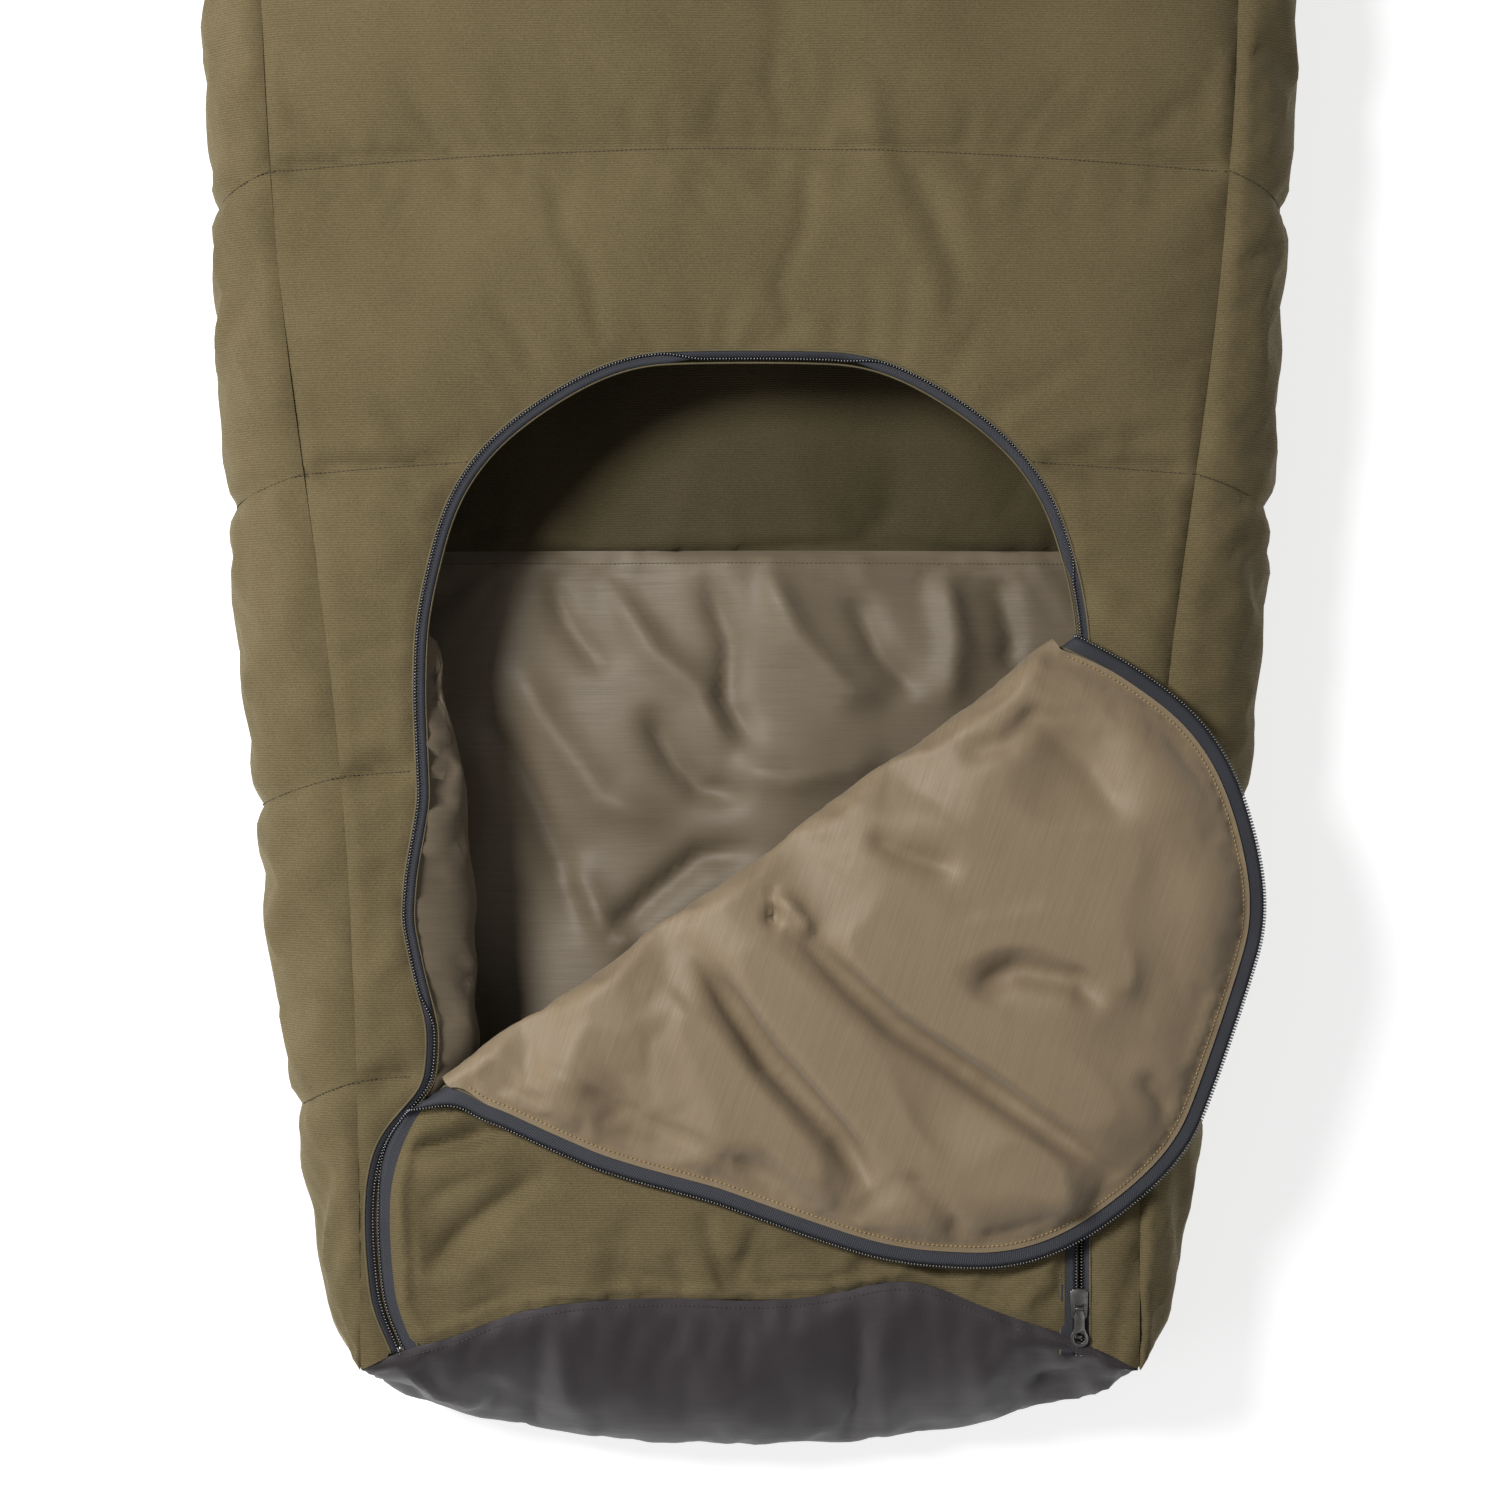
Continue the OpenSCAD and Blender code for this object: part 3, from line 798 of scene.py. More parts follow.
def tubeAlong(name, lines, radius, sides=6):
    # a thin round cord sewn along an edge
    points, faces = [], []
    for line in lines:
        line = np.asarray(line, float)
        d = np.gradient(line, axis=0)
        d /= np.linalg.norm(d, axis=1)[:, None]
        flatSide = np.cross(d, [0, 0, 1.0])
        flatSide /= np.maximum(np.linalg.norm(flatSide, axis=1), 1e-6)[:, None]
        up = np.cross(flatSide, d)
        first = len(points)
        for k in range(len(line)):
            for j in range(sides):
                a = math.tau * j / sides
                points.append(line[k] + radius * (math.cos(a) * flatSide[k] + math.sin(a) * up[k]))
        for k in range(len(line) - 1):
            for j in range(sides):
                a = first + k * sides + j
                b = first + k * sides + (j + 1) % sides
                faces.append((a, b, b + sides, a + sides))
        faces.append(tuple(first + j for j in reversed(range(sides))))
        faces.append(tuple(first + (len(line) - 1) * sides + j for j in range(sides)))
    return makeMesh(name, np.array(points), faces)


def paint(piece, material, slot):
    piece.data.materials.clear()
    piece.data.materials.append(material)


zipParts = {"bodyTape": 7.4, "baseTape": 9.6, "tapeThick": 0.6, "toothPitch": 2.1,
            "piping": 0.9, "inPiping": 0.7}
topPanel = {"step": 6.5, "coarse": 10.5, "pressure": 5.5, "grow": 0.009, "cap": 11.0,
            "dip": 8.5, "crown": 9.0, "underFlap": 123.6}
# the side seams sink into the padding, more on the right than on the left
seamDips = {-1: 2.4, 1: 5.0}
seamWidth = 4.5
coarseFrom = 960
endS = bagLength - plan["hem"]
sideMarks = np.concatenate([np.arange(plan["corner"], 800, 8), np.arange(800, endS, 12), [endS]])
panelEdge = zipOffset(-zipParts["bodyTape"])
closedFlapEdge = zipOffset(plan["tapeWidth"], body=False)
flapAbove = closedFlapEdge[foldSide(closedFlapEdge) < 0]
foldedRim = foldOver(flapAbove)


def topOutline(edge):
    right = [(seamHalf(s), s) for s in sideMarks[::-1]]
    xs = np.linspace(plan["seamFoot"], edge[0, 0], 6)[1:]
    footRight = [(x, footTop(x)) for x in xs]
    xs = np.linspace(edge[-1, 0], -plan["seamFoot"], 6)[:-1]
    footLeft = [(x, footTop(x)) for x in xs]
    left = [(-seamHalf(s), s) for s in sideMarks]
    return np.array(right + footRight + [tuple(p) for p in edge] + footLeft + left)


def quiltAcross(s0, limit=None):
    xs = np.linspace(-1, 1, 61) * (seamHalf(s0) if limit is None else limit)
    return np.column_stack([xs, s0 + quiltBow(xs)])


quiltLines = [quiltAcross(q) for q in plan["quilts"]]
archFold = [
    ([(68, 953), (102, 851), (126, 789), (133, 738)], 3.2, 13),
    ([(88, 919), (129, 830), (160, 769)], -3.0, 12),
    ([(-139, 732), (-160, 769), (-184, 796)], -2.5, 8),
    ([(-102, 749), (-119, 789), (-129, 823)], 2.2, 11),
    ([(-197, 674), (-224, 694), (-248, 708)], -2.4, 8),
    ([(-211, 640), (-238, 653), (-262, 660)], 2.0, 9),
    ([(177, 715), (211, 742), (245, 755)], -2.6, 9),
    ([(194, 687), (228, 701), (265, 708)], 2.2, 9),
    ([(221, 613), (252, 599), (286, 579)], -2.6, 9),
    ([(224, 585), (258, 565), (282, 538)], 2.4, 9),
    ([(-231, 558), (-252, 551), (-272, 551)], -2.0, 8),
    ([(265, 157), (252, 109), (245, 62)], -5.0, 6),
    ([(282, 177), (272, 116), (255, 69)], 3.0, 7),
    ([(-241, 409), (-255, 395), (-265, 388)], -2.0, 8),
    ([(-224, 361), (-245, 341), (-264, 313)], 2.0, 10),
    ([(-221, 279), (-241, 259), (-262, 239)], -2.4, 9),
]


def underFlap(flat):
    # 1 below the folded flap and close around it
    rim = np.vstack([foldedRim, foldedRim[:1]])
    gap, _ = toLine(flat, rim)
    covered = inside(flat, foldedRim)
    return np.where(covered, 1.0, 1 - smooth(gap / 30))


def makeTopShell():
    outline = topOutline(panelEdge)
    fine, coarse = topPanel["step"], topPanel["coarse"]
    flat, faces, rim, stitched = cutPanel(outline, quiltLines, fine, coarse, coarseFrom)
    x, s = flat.T
    zipGap, _ = toLine(flat, panelEdge)
    h = topHeight + topPanel["crown"] * smooth((s - 800) / 260) * (1 - (x / seamHalf(s)) ** 2)
    h -= 2.2 * bell(zipGap, 5)
    h += 0.8 * noise(x, s * 0.7, 130, 3) * smooth(zipGap / 15)
    h += folds(flat, archFold) * smooth(zipGap / 6)
    for line in quiltLines:
        gap, _ = toLine(flat, line)
        h -= topPanel["dip"] * np.exp(-gap / 6) * smooth((seamHalf(s) - np.abs(x)) / 14) * smooth(zipGap / 12)
    sideGap = seamHalf(s) - np.abs(x)
    h -= np.where(x > 0, seamDips[1], seamDips[-1]) * bell(sideGap, seamWidth)
    piece = makeMesh("topShell", np.column_stack([x, s, h]), faces)
    addCloth(piece, rim | stitched, topPanel["pressure"], topPanel["grow"], topPanel["cap"])
    return piece, flat


def finishTopShell(piece, flat):
    amount = np.zeros(len(flat))
    for k, line in enumerate(quiltLines[:5]):
        amount += puckers(flat, line, 16, 15, 1.6, 20 + k)
    amount += puckers(flat, panelEdge, 22, 17, 2.0, 40)
    for k, side in enumerate((-1, 1)):
        seam = np.array([(side * seamHalf(s), s) for s in sideMarks])
        amount += puckers(flat, seam, 12, 21, 1.3, 50 + k)
    pushOut(piece, amount)
    co = coordsOf(piece.data)
    limit = topPanel["underFlap"] / 1000
    under = underFlap(flat)
    tooHigh = np.maximum(co[:, 2] - limit, 0)
    co[:, 2] -= tooHigh * under * 0.95
    setCoords(piece.data, co)
    paint(piece, oliveTricot, "outer_fabric")
    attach(piece, "root")
    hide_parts("top_shell", "top_padding")


gusset = {"width": 190, "step": 8, "coarse": 12, "pressure": 4.0, "grow": 0.012, "cap": 8.0, "pinch": 5.5}


def gussetPoint(side, v, s, depth=0.0):
    u = v / gusset["width"]
    start = seamHalf(s)
    bulge = (sideHalf(s) - start) / 0.75 * quarterRound(s - plan["corner"], 34)
    bulge = np.maximum(bulge - depth / 0.75, 0.02 * bulge)
    x = start + 3 * bulge * u * (1 - u)
    h = bezier(depth, depth, topHeight - depth, topHeight - depth, u)
    return np.column_stack([side * x, s, h])


def gussetLine(q):
    v = np.linspace(0, gusset["width"], 25)
    u = v / gusset["width"]
    start = seamHalf(q)
    return np.column_stack([v, q + quiltBow(start) - 20 * np.sin(math.pi * u)])


gussetLines = [gussetLine(q) for q in plan["quilts"]]


def gussetOutline():
    v = np.linspace(0, gusset["width"], 24)
    low = [(a, plan["corner"] + 0.3) for a in v]
    right = [(gusset["width"], s) for s in sideMarks[1:]]
    top = [(a, endS) for a in v[::-1]]
    left = [(0, s) for s in sideMarks[::-1][:-1]]
    return np.array(low + right + top[1:] + left[1:])


def makeGusset(side, seed):
    name = "leftSideShell" if side < 0 else "rightSideShell"
    outline = gussetOutline()
    flat, faces, rim, stitched = cutPanel(outline, gussetLines, gusset["step"], gusset["coarse"], coarseFrom)
    v, s = flat.T
    points = gussetPoint(side, v, s)
    u = v / gusset["width"]
    out = np.column_stack([side * np.sin(math.pi * u), np.zeros(len(u)), -np.cos(math.pi * u)])
    push = 0.48 * noise(v, s, 60, seed) + 0.42 * noise(v + s * 0.35, s * 0.45, 22, seed + 1)
    push *= smooth(np.minimum(v, gusset["width"] - v) / 15)
    for line in gussetLines:
        gap, _ = toLine(flat, line)
        push -= gusset["pinch"] * bell(gap, 9) * np.sin(math.pi * u) ** 0.5
    rng = np.random.default_rng(seed)
    features = []
    for q in plan["quilts"]:
        for _ in range(3):
            start = rng.uniform(0.55, 0.95) * gusset["width"]
            top = q - rng.uniform(10, 90)
            size = rng.uniform(50, 100)
            crease = [(start, top), (start - size * 0.75, top - size)]
            features.append((crease, rng.uniform(-3, 3.4), rng.uniform(7, 12)))
    push += folds(flat, features)
    points += out * push[:, None]
    points[:, 2] -= seamDips[side] * bell(gusset["width"] - v, seamWidth)
    if side < 0:
        faces = [f[::-1] for f in faces]
    piece = makeMesh(name, points, [f[::-1] for f in faces])
    addCloth(piece, rim | stitched, gusset["pressure"], gusset["grow"], gusset["cap"])
    return piece, flat


def finishGusset(piece, flat, side):
    amount = np.zeros(len(flat))
    for k, line in enumerate(gussetLines[:6]):
        amount += puckers(flat, line, 16, 15, 1.7, 70 + k + 20 * side)
    seam = np.array([(gusset["width"], s) for s in sideMarks])
    amount += puckers(flat, seam, 12, 19, 1.3, 90 + side)
    pushOut(piece, amount)
    clampHeight(piece, groundGap)
    paint(piece, oliveTricot, "outer_fabric")
    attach(piece, "root")
    word = "left" if side < 0 else "right"
    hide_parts(word + "_side_shell", word + "_side_padding")


def makeSideLining(side, seed):
    flat, faces, _, _ = cutPanel(gussetOutline(), gussetLines, 14, 20, 900)
    v, s = flat.T
    points = gussetPoint(side, v, s, backInside)
    slack = 2.2 * noise(v, s, 60, seed) + 1.5 * noise(v, s, 30, seed + 1)
    points[:, 0] -= side * slack * smooth(np.minimum(v, gusset["width"] - v) / 20)
    if side > 0:
        faces = [f[::-1] for f in faces]
    word = "left" if side < 0 else "right"
    piece = makeMesh(word + "SideLining", points, [f[::-1] for f in faces])
    # the side linings get the darker copy of the taffeta as painted shade
    paint(piece, taffetaPaintedShade, "lining_taffeta")
    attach(piece, "root")
    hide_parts(word + "_side_lining")


footCap = {"width": 112, "step": 5, "pressure": 2.5, "grow": 0.012, "cap": 7.0}
capMarks = np.linspace(-plan["seamFoot"], plan["seamFoot"], 161)


def capReach():
    us = np.linspace(0.1, 0.9, 9)[:, None]
    low, high = footBack(capMarks), footTop(capMarks)
    room = (bezier(low, low, high, high, us) - footEdge(capMarks)) / (3 * us * (1 - us))
    return room.min(0)


capReaches = capReach()


def capPoint(x, v, depth=0.0):
    u = v / footCap["width"]
    reach = np.interp(x, capMarks, capReaches)
    reach = np.maximum(reach * quarterRound(plan["seamFoot"] - np.abs(x), 30) - depth / 0.75, 0.0)
    low, high = footBack(x), footTop(x)
    s = bezier(low, low - reach, high - reach, high, u)
    h = bezier(depth, depth, topHeight - depth, topHeight - depth, u)
    return np.column_stack([x, s, h])


capFolds = [
    ([(88, 108), (92, 70), (100, 30)], 4.0, 9), ([(76, 110), (72, 70), (60, 35)], -3.5, 8),
    ([(-129, 108), (-122, 75), (-100, 40)], 3.5, 10), ([(-142, 108), (-146, 70), (-150, 40)], -3.0, 8),
    ([(-240, 100), (-215, 75), (-180, 62)], 4.0, 5), ([(-250, 80), (-225, 58), (-195, 46)], -4.0, 5),
    ([(-252, 60), (-225, 40), (-190, 30)], 3.5, 5), ([(238, 104), (215, 84), (185, 74)], -4.0, 5),
    ([(250, 84), (225, 66), (180, 58)], 4.0, 5), ([(252, 60), (225, 46), (190, 38)], -3.5, 5),
    ([(150, 100), (160, 70), (175, 45)], 2.5, 9), ([(-40, 100), (-20, 75), (30, 60)], 2.0, 12),
    ([(10, 96), (30, 72), (70, 62)], -2.0, 9), ([(-200, 90), (-150, 66), (-90, 60)], -2.0, 9),
]


def makeFootCap():
    half, width = plan["seamFoot"], footCap["width"]
    xs = np.linspace(-half, half, 120)
    rise = np.linspace(0, width, 30)
    fall = np.linspace(width, 0, 30)
    outline = np.array([(x, 0) for x in xs] + [(half, v) for v in rise[1:]]
                       + [(x, width) for x in xs[::-1][1:]] + [(-half, v) for v in fall[1:-1]])
    flat, faces, rim, _ = cutPanel(outline, [], footCap["step"])
    x, v = flat.T
    points = capPoint(x, v)
    edge = np.minimum(np.minimum(v, width - v), (half - np.abs(x)) * 0.8)
    push = (0.8 * noise(x, v, 60, 8) + 0.4 * noise(x, v, 25, 9)) * smooth(edge / 12)
    push += folds(flat, capFolds) * smooth(edge / 5)
    u = v / width
    points[:, 1] -= push * np.sin(math.pi * u)
    points[:, 2] += push * -np.cos(math.pi * u)
    points[:, 2] -= 1.5 * bell(width - v, 4)
    piece = makeMesh("footCap", points, faces)
    addCloth(piece, rim, footCap["pressure"], footCap["grow"], footCap["cap"])
    return piece, flat


def finishFootCap(piece, flat):
    half, width = plan["seamFoot"], footCap["width"]
    seam = np.column_stack([np.linspace(-half, half, 80), np.full(80, width)])
    amount = puckers(flat, seam, 14, 22, 1.6, 61)
    for side in (-1, 1):
        corner = np.column_stack([np.full(20, side * half), np.linspace(0, width, 20)])
        amount += puckers(flat, corner, 26, 12, 3.0, 63 + side)
    pushOut(piece, amount)
    clampHeight(piece, groundGap)
    paint(piece, charcoalCloth, "foot_fabric")
    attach(piece, "root")
    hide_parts("foot_cap", "foot_padding")


def makeFootLining():
    half, width = plan["seamFoot"] - 6, footCap["width"]
    xs = np.linspace(-half, half, 60)
    outline = np.array([(x, 0) for x in xs] + [(x, width) for x in xs[::-1]])
    flat, faces, _, _ = cutPanel(outline, [], 12)
    x, v = flat.T
    points = capPoint(x, v, backInside)
    points[:, 1] += 2 * noise(x, v, 50, 12) * smooth(np.minimum(v, width - v) / 15) + 1
    piece = makeMesh("footLining", points, [f[::-1] for f in faces])
    paint(piece, taffetaInShade, "lining_taffeta")
    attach(piece, "root")
    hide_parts("foot_lining")


def backOutline(footLine):
    xs = np.linspace(-plan["seamFoot"], plan["seamFoot"], 60)
    return np.array([(x, footLine(x)) for x in xs] + [(seamHalf(s), s) for s in sideMarks]
                    + [(-seamHalf(s), s) for s in sideMarks[::-1]])


def makeBackShell():
    flat, faces, rim, _ = cutPanel(backOutline(footBack), quiltLines, 16)
    x, s = flat.T
    h = 0.6 + 0.25 * noise(x, s, 90, 15)
    for line in quiltLines:
        gap, _ = toLine(flat, line)
        h += 4 * bell(gap, 10)
    h = np.where(rim, 0.5, np.maximum(h, 0.3))
    piece = makeMesh("backShell", np.column_stack([x, s, h]), [f[::-1] for f in faces])
    paint(piece, oliveTricot, "outer_fabric")
    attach(piece, "root")
    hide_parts("back_shell", "back_padding")


backLining = {"step": 6.0, "coarse": 14, "pressure": 1.2, "grow": 0.012, "cap": 8.0, "highest": 75}
insideFolds = [
    ([(-34, 613), (-14, 558), (-17, 517), (7, 477)], -7, 9),
    ([(7, 613), (34, 558), (68, 524), (102, 517)], 8, 13),
    ([(-102, 606), (-68, 551), (-34, 524), (-10, 470)], 7, 12),
    ([(-75, 517), (-54, 477), (-34, 456), (7, 449)], -9, 9),
    ([(-170, 558), (-143, 504), (-102, 449), (-48, 429)], 7, 14),
    ([(-190, 517), (-156, 456), (-129, 395), (-109, 341)], -7, 10),
    ([(-129, 409), (-102, 361), (-75, 341)], 8, 12),
    ([(-109, 341), (-68, 381), (-34, 409), (14, 415)], -8, 9),
    ([(-20, 470), (27, 463), (68, 470), (102, 477)], 6, 12),
    ([(68, 599), (88, 551), (122, 517)], -6, 9),
    ([(136, 613), (143, 558), (136, 504)], 6, 12),
    ([(170, 613), (184, 558), (177, 531)], -5, 8),
    ([(-143, 613), (-129, 572), (-95, 531)], -5, 9),
]


def backHeight(x, s):
    # the back's lining lies slack and higher in the middle of the opening
    h = backInside + 1 + 10 * smooth((s - 120) / 120) * (1 - (x / seamHalf(s)) ** 2)
    h += 13 * bell(s, 230, 480) * bell(x, 190, 20)
    return h


def makeBackLining(name, low, high, seed):
    outline = []
    for s in np.linspace(low, high, int((high - low) / 10)):
        outline.append((seamHalf(s) - 1, s))
    outline += [(-x, s) for x, s in outline[::-1]]
    if low < 100:
        xs = np.linspace(-plan["seamFoot"] + 2, plan["seamFoot"] - 2, 50)
        outline = [(x, footBack(x) + 14) for x in xs] + [p for p in outline if p[1] > 84]
    flat, faces, rim, _ = cutPanel(np.array(outline), [], backLining["step"], backLining["coarse"], 800)
    x, s = flat.T
    h = backHeight(x, s)
    endGap = np.minimum(np.abs(s - low), np.abs(s - high)) if low > 100 else np.abs(s - high)
    away = smooth(endGap / 25)
    sideAway = smooth((seamHalf(s) - np.abs(x)) / 30)
    h += 2.2 * noise(x, s, 150, seed) * sideAway
    h += (1.5 * folds(flat, insideFolds) if low < 100 else 0) * (0.3 + 0.7 * away)
    seamGap = np.abs(s - plan["liningSeam"])
    h -= 2.5 * bell(seamGap, 5)
    h = np.where(np.abs(s - plan["liningSeam"]) < 0.5, backHeight(x, s) - 2, h)
    h = np.maximum(h, backInside + 0.6)
    piece = makeMesh(name, np.column_stack([x, s, h]), faces)
    addCloth(piece, rim, backLining["pressure"], backLining["grow"], backLining["cap"])
    return piece, flat


def finishBackLining(piece, flat, material, slot, node):
    seam = np.column_stack([np.linspace(-300, 300, 60), np.full(60, plan["liningSeam"])])
    pushOut(piece, puckers(flat, seam, 26, 24, 2.6, 77))
    clampHeight(piece, backInside + 0.5, backLining["highest"])
    paint(piece, material, slot)
    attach(piece, "root")
    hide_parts(node)


def makeTopLining():
    # lies under the top panel; on the left it curls in past the zip
    edge = zipOffset(-3.5)
    flat, faces, _, _ = cutPanel(topOutline(edge), [], 9, 16, 900)
    x, s = flat.T
    gap, _ = toLine(flat, edge)
    onLeft = smooth((-x - 60) / 110)
    reachMarks = [60, 200, 300, 379, 428, 476, 514, 550, 620]
    reachTo = np.interp(s, reachMarks, [-196, -190, -187, -188, -192, -197, -205, -213, -218])
    curl = np.clip(reachTo + 226 - leftShift(s) + 1.2 * noise(s, s * 0, 60, 31), 0, 45) * onLeft
    curl *= 1 - smooth((s - 540) / 60)
    back = np.where(curl > 0.5, 1.0, 0.0) * smooth(curl / 8)
    swell = np.sin(math.pi * np.clip(gap / 80, 0, 1)) ** 0.8
    shift = back * gap * (1 - smooth((gap - 45) / 70)) + curl * swell
    h = 116 - 8.5 * smooth(gap / 16) - curl * 0.9 * np.sin(math.pi * np.clip((gap - 8) / 110, 0, 1)) ** 1.5
    ripple = smooth(curl / 15) * smooth(gap / 8) * (1 - smooth((gap - 34) / 10))
    h += 2.6 * noise(s * 0.7, gap * 2.5, 40, 33) * ripple
    h += 0.8 * noise(x, s, 40, 32) * smooth(gap / 20)
    for line in quiltLines:
        h -= 6 * bell(toLine(flat, line)[0], 12) * (1 - smooth(curl / 6))
    h += topPanel["crown"] * smooth((s - 800) / 260) * (1 - (x / seamHalf(s)) ** 2)
    piece = makeMesh("topLining", np.column_stack([x + shift, s, h]), [f[::-1] for f in faces])
    paint(piece, taffetaInShade, "lining_taffeta")
    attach(piece, "root")
    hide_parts("top_lining")


flapBase = {"step": 4.4, "pressure": 2.6, "grow": 0.035, "cap": 7.0}
flap = {"step": 4.4, "pressure": 2.2, "grow": 0.018, "cap": 6.0, "roll": 15.0, "rimRise": 7.5,
        "stitchIn": 4.0, "liningRoll": 38.0, "shellRoll": 9.4, "lowest": 129.9, "highest": 151}
foldReach = 252.0


def baseEdge(d):
    # both sides of the flap's base, from the foot up to the fold
    line = zipOffset(d)
    keep = foldSide(line) > 0.5
    middle = len(line) // 2
    right = line[:middle][keep[:middle]]
    return right, leftTurn(d)[0]


baseFolds = [
    ([(-233, 211), (-206, 217), (-175, 228), (-150, 240)], -8, 5.5),
    ([(-237, 222), (-211, 229), (-184, 240)], 3.0, 7),
    ([(-224, 197), (-190, 205), (-156, 218), (-129, 211)], 3.2, 8),
    ([(-221, 120), (-211, 138), (-188, 162), (-160, 184), (-130, 205)], -5.5, 8),
    ([(-207, 109), (-184, 135), (-143, 167), (-95, 191)], 3.4, 14),
    ([(-221, 171), (-201, 188), (-170, 205)], -2.2, 6),
    ([(-34, 184), (-26, 160), (-19, 135), (-15, 116)], -2.2, 7),
    ([(7, 174), (-3, 143), (-12, 118)], -2.2, 7),
    ([(-54, 150), (-41, 116)], -2.4, 6),
    ([(-17, 167), (-10, 143)], 2.6, 8),
    ([(75, 135), (102, 138), (143, 131)], -2.4, 6),
]


def makeFlapBase():
    right, left = baseEdge(zipParts["baseTape"])
    foot = [(x, footTop(x)) for x in np.linspace(left[-1, 0], right[0, 0], 70)]
    outline = np.array(foot + [tuple(p) for p in right] + [tuple(p) for p in left])
    flat, faces, rim, _ = cutPanel(outline, [], flapBase["step"])
    x, s = flat.T
    gapSide = np.minimum(toLine(flat, right)[0], toLine(flat, left)[0])
    gapFoot = s - footTop(x)
    h = topHeight + 0.6 * noise(x, s, 60, 35) * smooth(gapSide / 12)
    h -= 2.2 * bell(gapSide, 5) + 2 * bell(gapFoot, 5)
    h = np.where(foldSide(flat) < 8, np.minimum(h, topHeight), h)
    piece = makeMesh("flapBase", np.column_stack([x, s, h]), faces)
    addCloth(piece, rim, flapBase["pressure"], flapBase["grow"], flapBase["cap"])
    return piece, flat


def finishFlapBase(piece, flat):
    _, left = baseEdge(zipParts["baseTape"])
    seam = np.array([(x, footTop(x)) for x in np.linspace(-230, 210, 80)])
    amount = puckers(flat, seam, 14, 20, 1.6, 65) + puckers(flat, left, 16, 15, 1.5, 66)
    edgeGap = np.minimum(toLine(flat, left)[0], flat[:, 1] - footTop(flat[:, 0]))
    amount += 1.5 * folds(flat, baseFolds) * smooth(edgeGap / 6)
    nearFold = smooth((foldSide(flat) - 4) / 12)
    pushOut(piece, amount * nearFold)
    # it stays below the folded flap, and comes down to the panel's height at the fold
    co = coordsOf(piece.data)
    limit = topPanel["underFlap"] + 3.5 * (1 - underFlap(flat))
    co[:, 2] = np.minimum(co[:, 2], limit / 1000)
    near = foldSide(flat)
    atFold = topHeight + (topPanel["underFlap"] - topHeight) * np.clip(near / 12, 0, 1)
    co[:, 2] = np.where(near < 12, np.minimum(co[:, 2], atFold / 1000), co[:, 2])
    setCoords(piece.data, co)
    paint(piece, oliveTricot, "outer_fabric")
    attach(piece, "root")
    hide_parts("flap_base_shell", "flap_base_padding")


def toFold(points):
    # along the fold and across it, in the plan
    d = np.asarray(points, float) - foldMiddle
    return np.column_stack([d @ foldAlong, d @ foldAcross])


def fromFold(t, b):
    return foldMiddle + np.outer(t, foldAlong) + np.outer(b, foldAcross)


def foldFront(t):
    # where the front of the rolled fold stands, a little hollow in the middle
    bow = 1 - np.clip(np.abs(t) / foldReach, 0, 1) ** 2
    return -8 + 3 * bow + 1.1 * np.sin(t / 24 + 1) + 0.5 * np.sin(t / 10)


flapFolds = [
    ([(-41, 358), (-14, 317), (14, 276), (58, 228), (92, 174)], -9, 8.5),
    ([(-61, 330), (-20, 273), (34, 211), (68, 167)], 5, 13),
    ([(-7, 361), (34, 300), (88, 239), (136, 177)], 6, 14),
    ([(17, 378), (58, 337), (97, 301), (163, 256), (211, 223), (265, 184)], -9, 8),
    ([(54, 375), (122, 313), (197, 266), (258, 232)], 6.5, 15),
    ([(122, 341), (160, 361), (204, 364), (245, 341), (258, 307)], 5.5, 9),
    ([(143, 320), (177, 337), (218, 330), (238, 307)], -6, 9),
    ([(-129, 273), (-75, 239), (-20, 211), (34, 184)], -5, 8),
    ([(-156, 273), (-102, 259), (-48, 225), (7, 191)], 4, 10),
    ([(88, 449), (143, 429), (211, 415), (272, 402)], 3.5, 22),
    ([(75, 429), (102, 415), (143, 402)], -4, 8),
    ([(136, 477), (170, 487), (197, 517)], -3, 9),
    ([(177, 517), (224, 477), (252, 429)], -3.5, 12),
    ([(170, 225), (211, 184), (224, 157)], 3.5, 9),
    ([(102, 211), (136, 171), (143, 150)], -3.5, 7),
    ([(258, 273), (279, 245), (286, 211)], -3.5, 8),
    ([(7, 392), (27, 378), (44, 358)], 5, 5),
    ([(14, 395), (17, 378), (14, 364)], -5, 4),
]


def flapDomain(rollLength):
    # the cut of the flap's upper part, along the fold and across it, with the cloth of the roll below 0
    rim = toFold(foldedRim)
    rim[:, 0] -= 1.5 * np.sign(rim[:, 0]) * bell(rim[:, 1], 20)
    first, last = rim[0, 0], rim[-1, 0]
    inset = 4 if first > last else -4
    roll = [(last, -rollLength * 0.5), (last + inset, -rollLength), (first - inset, -rollLength),
            (first, -rollLength * 0.5)]
    return np.vstack([rim, roll]), rim


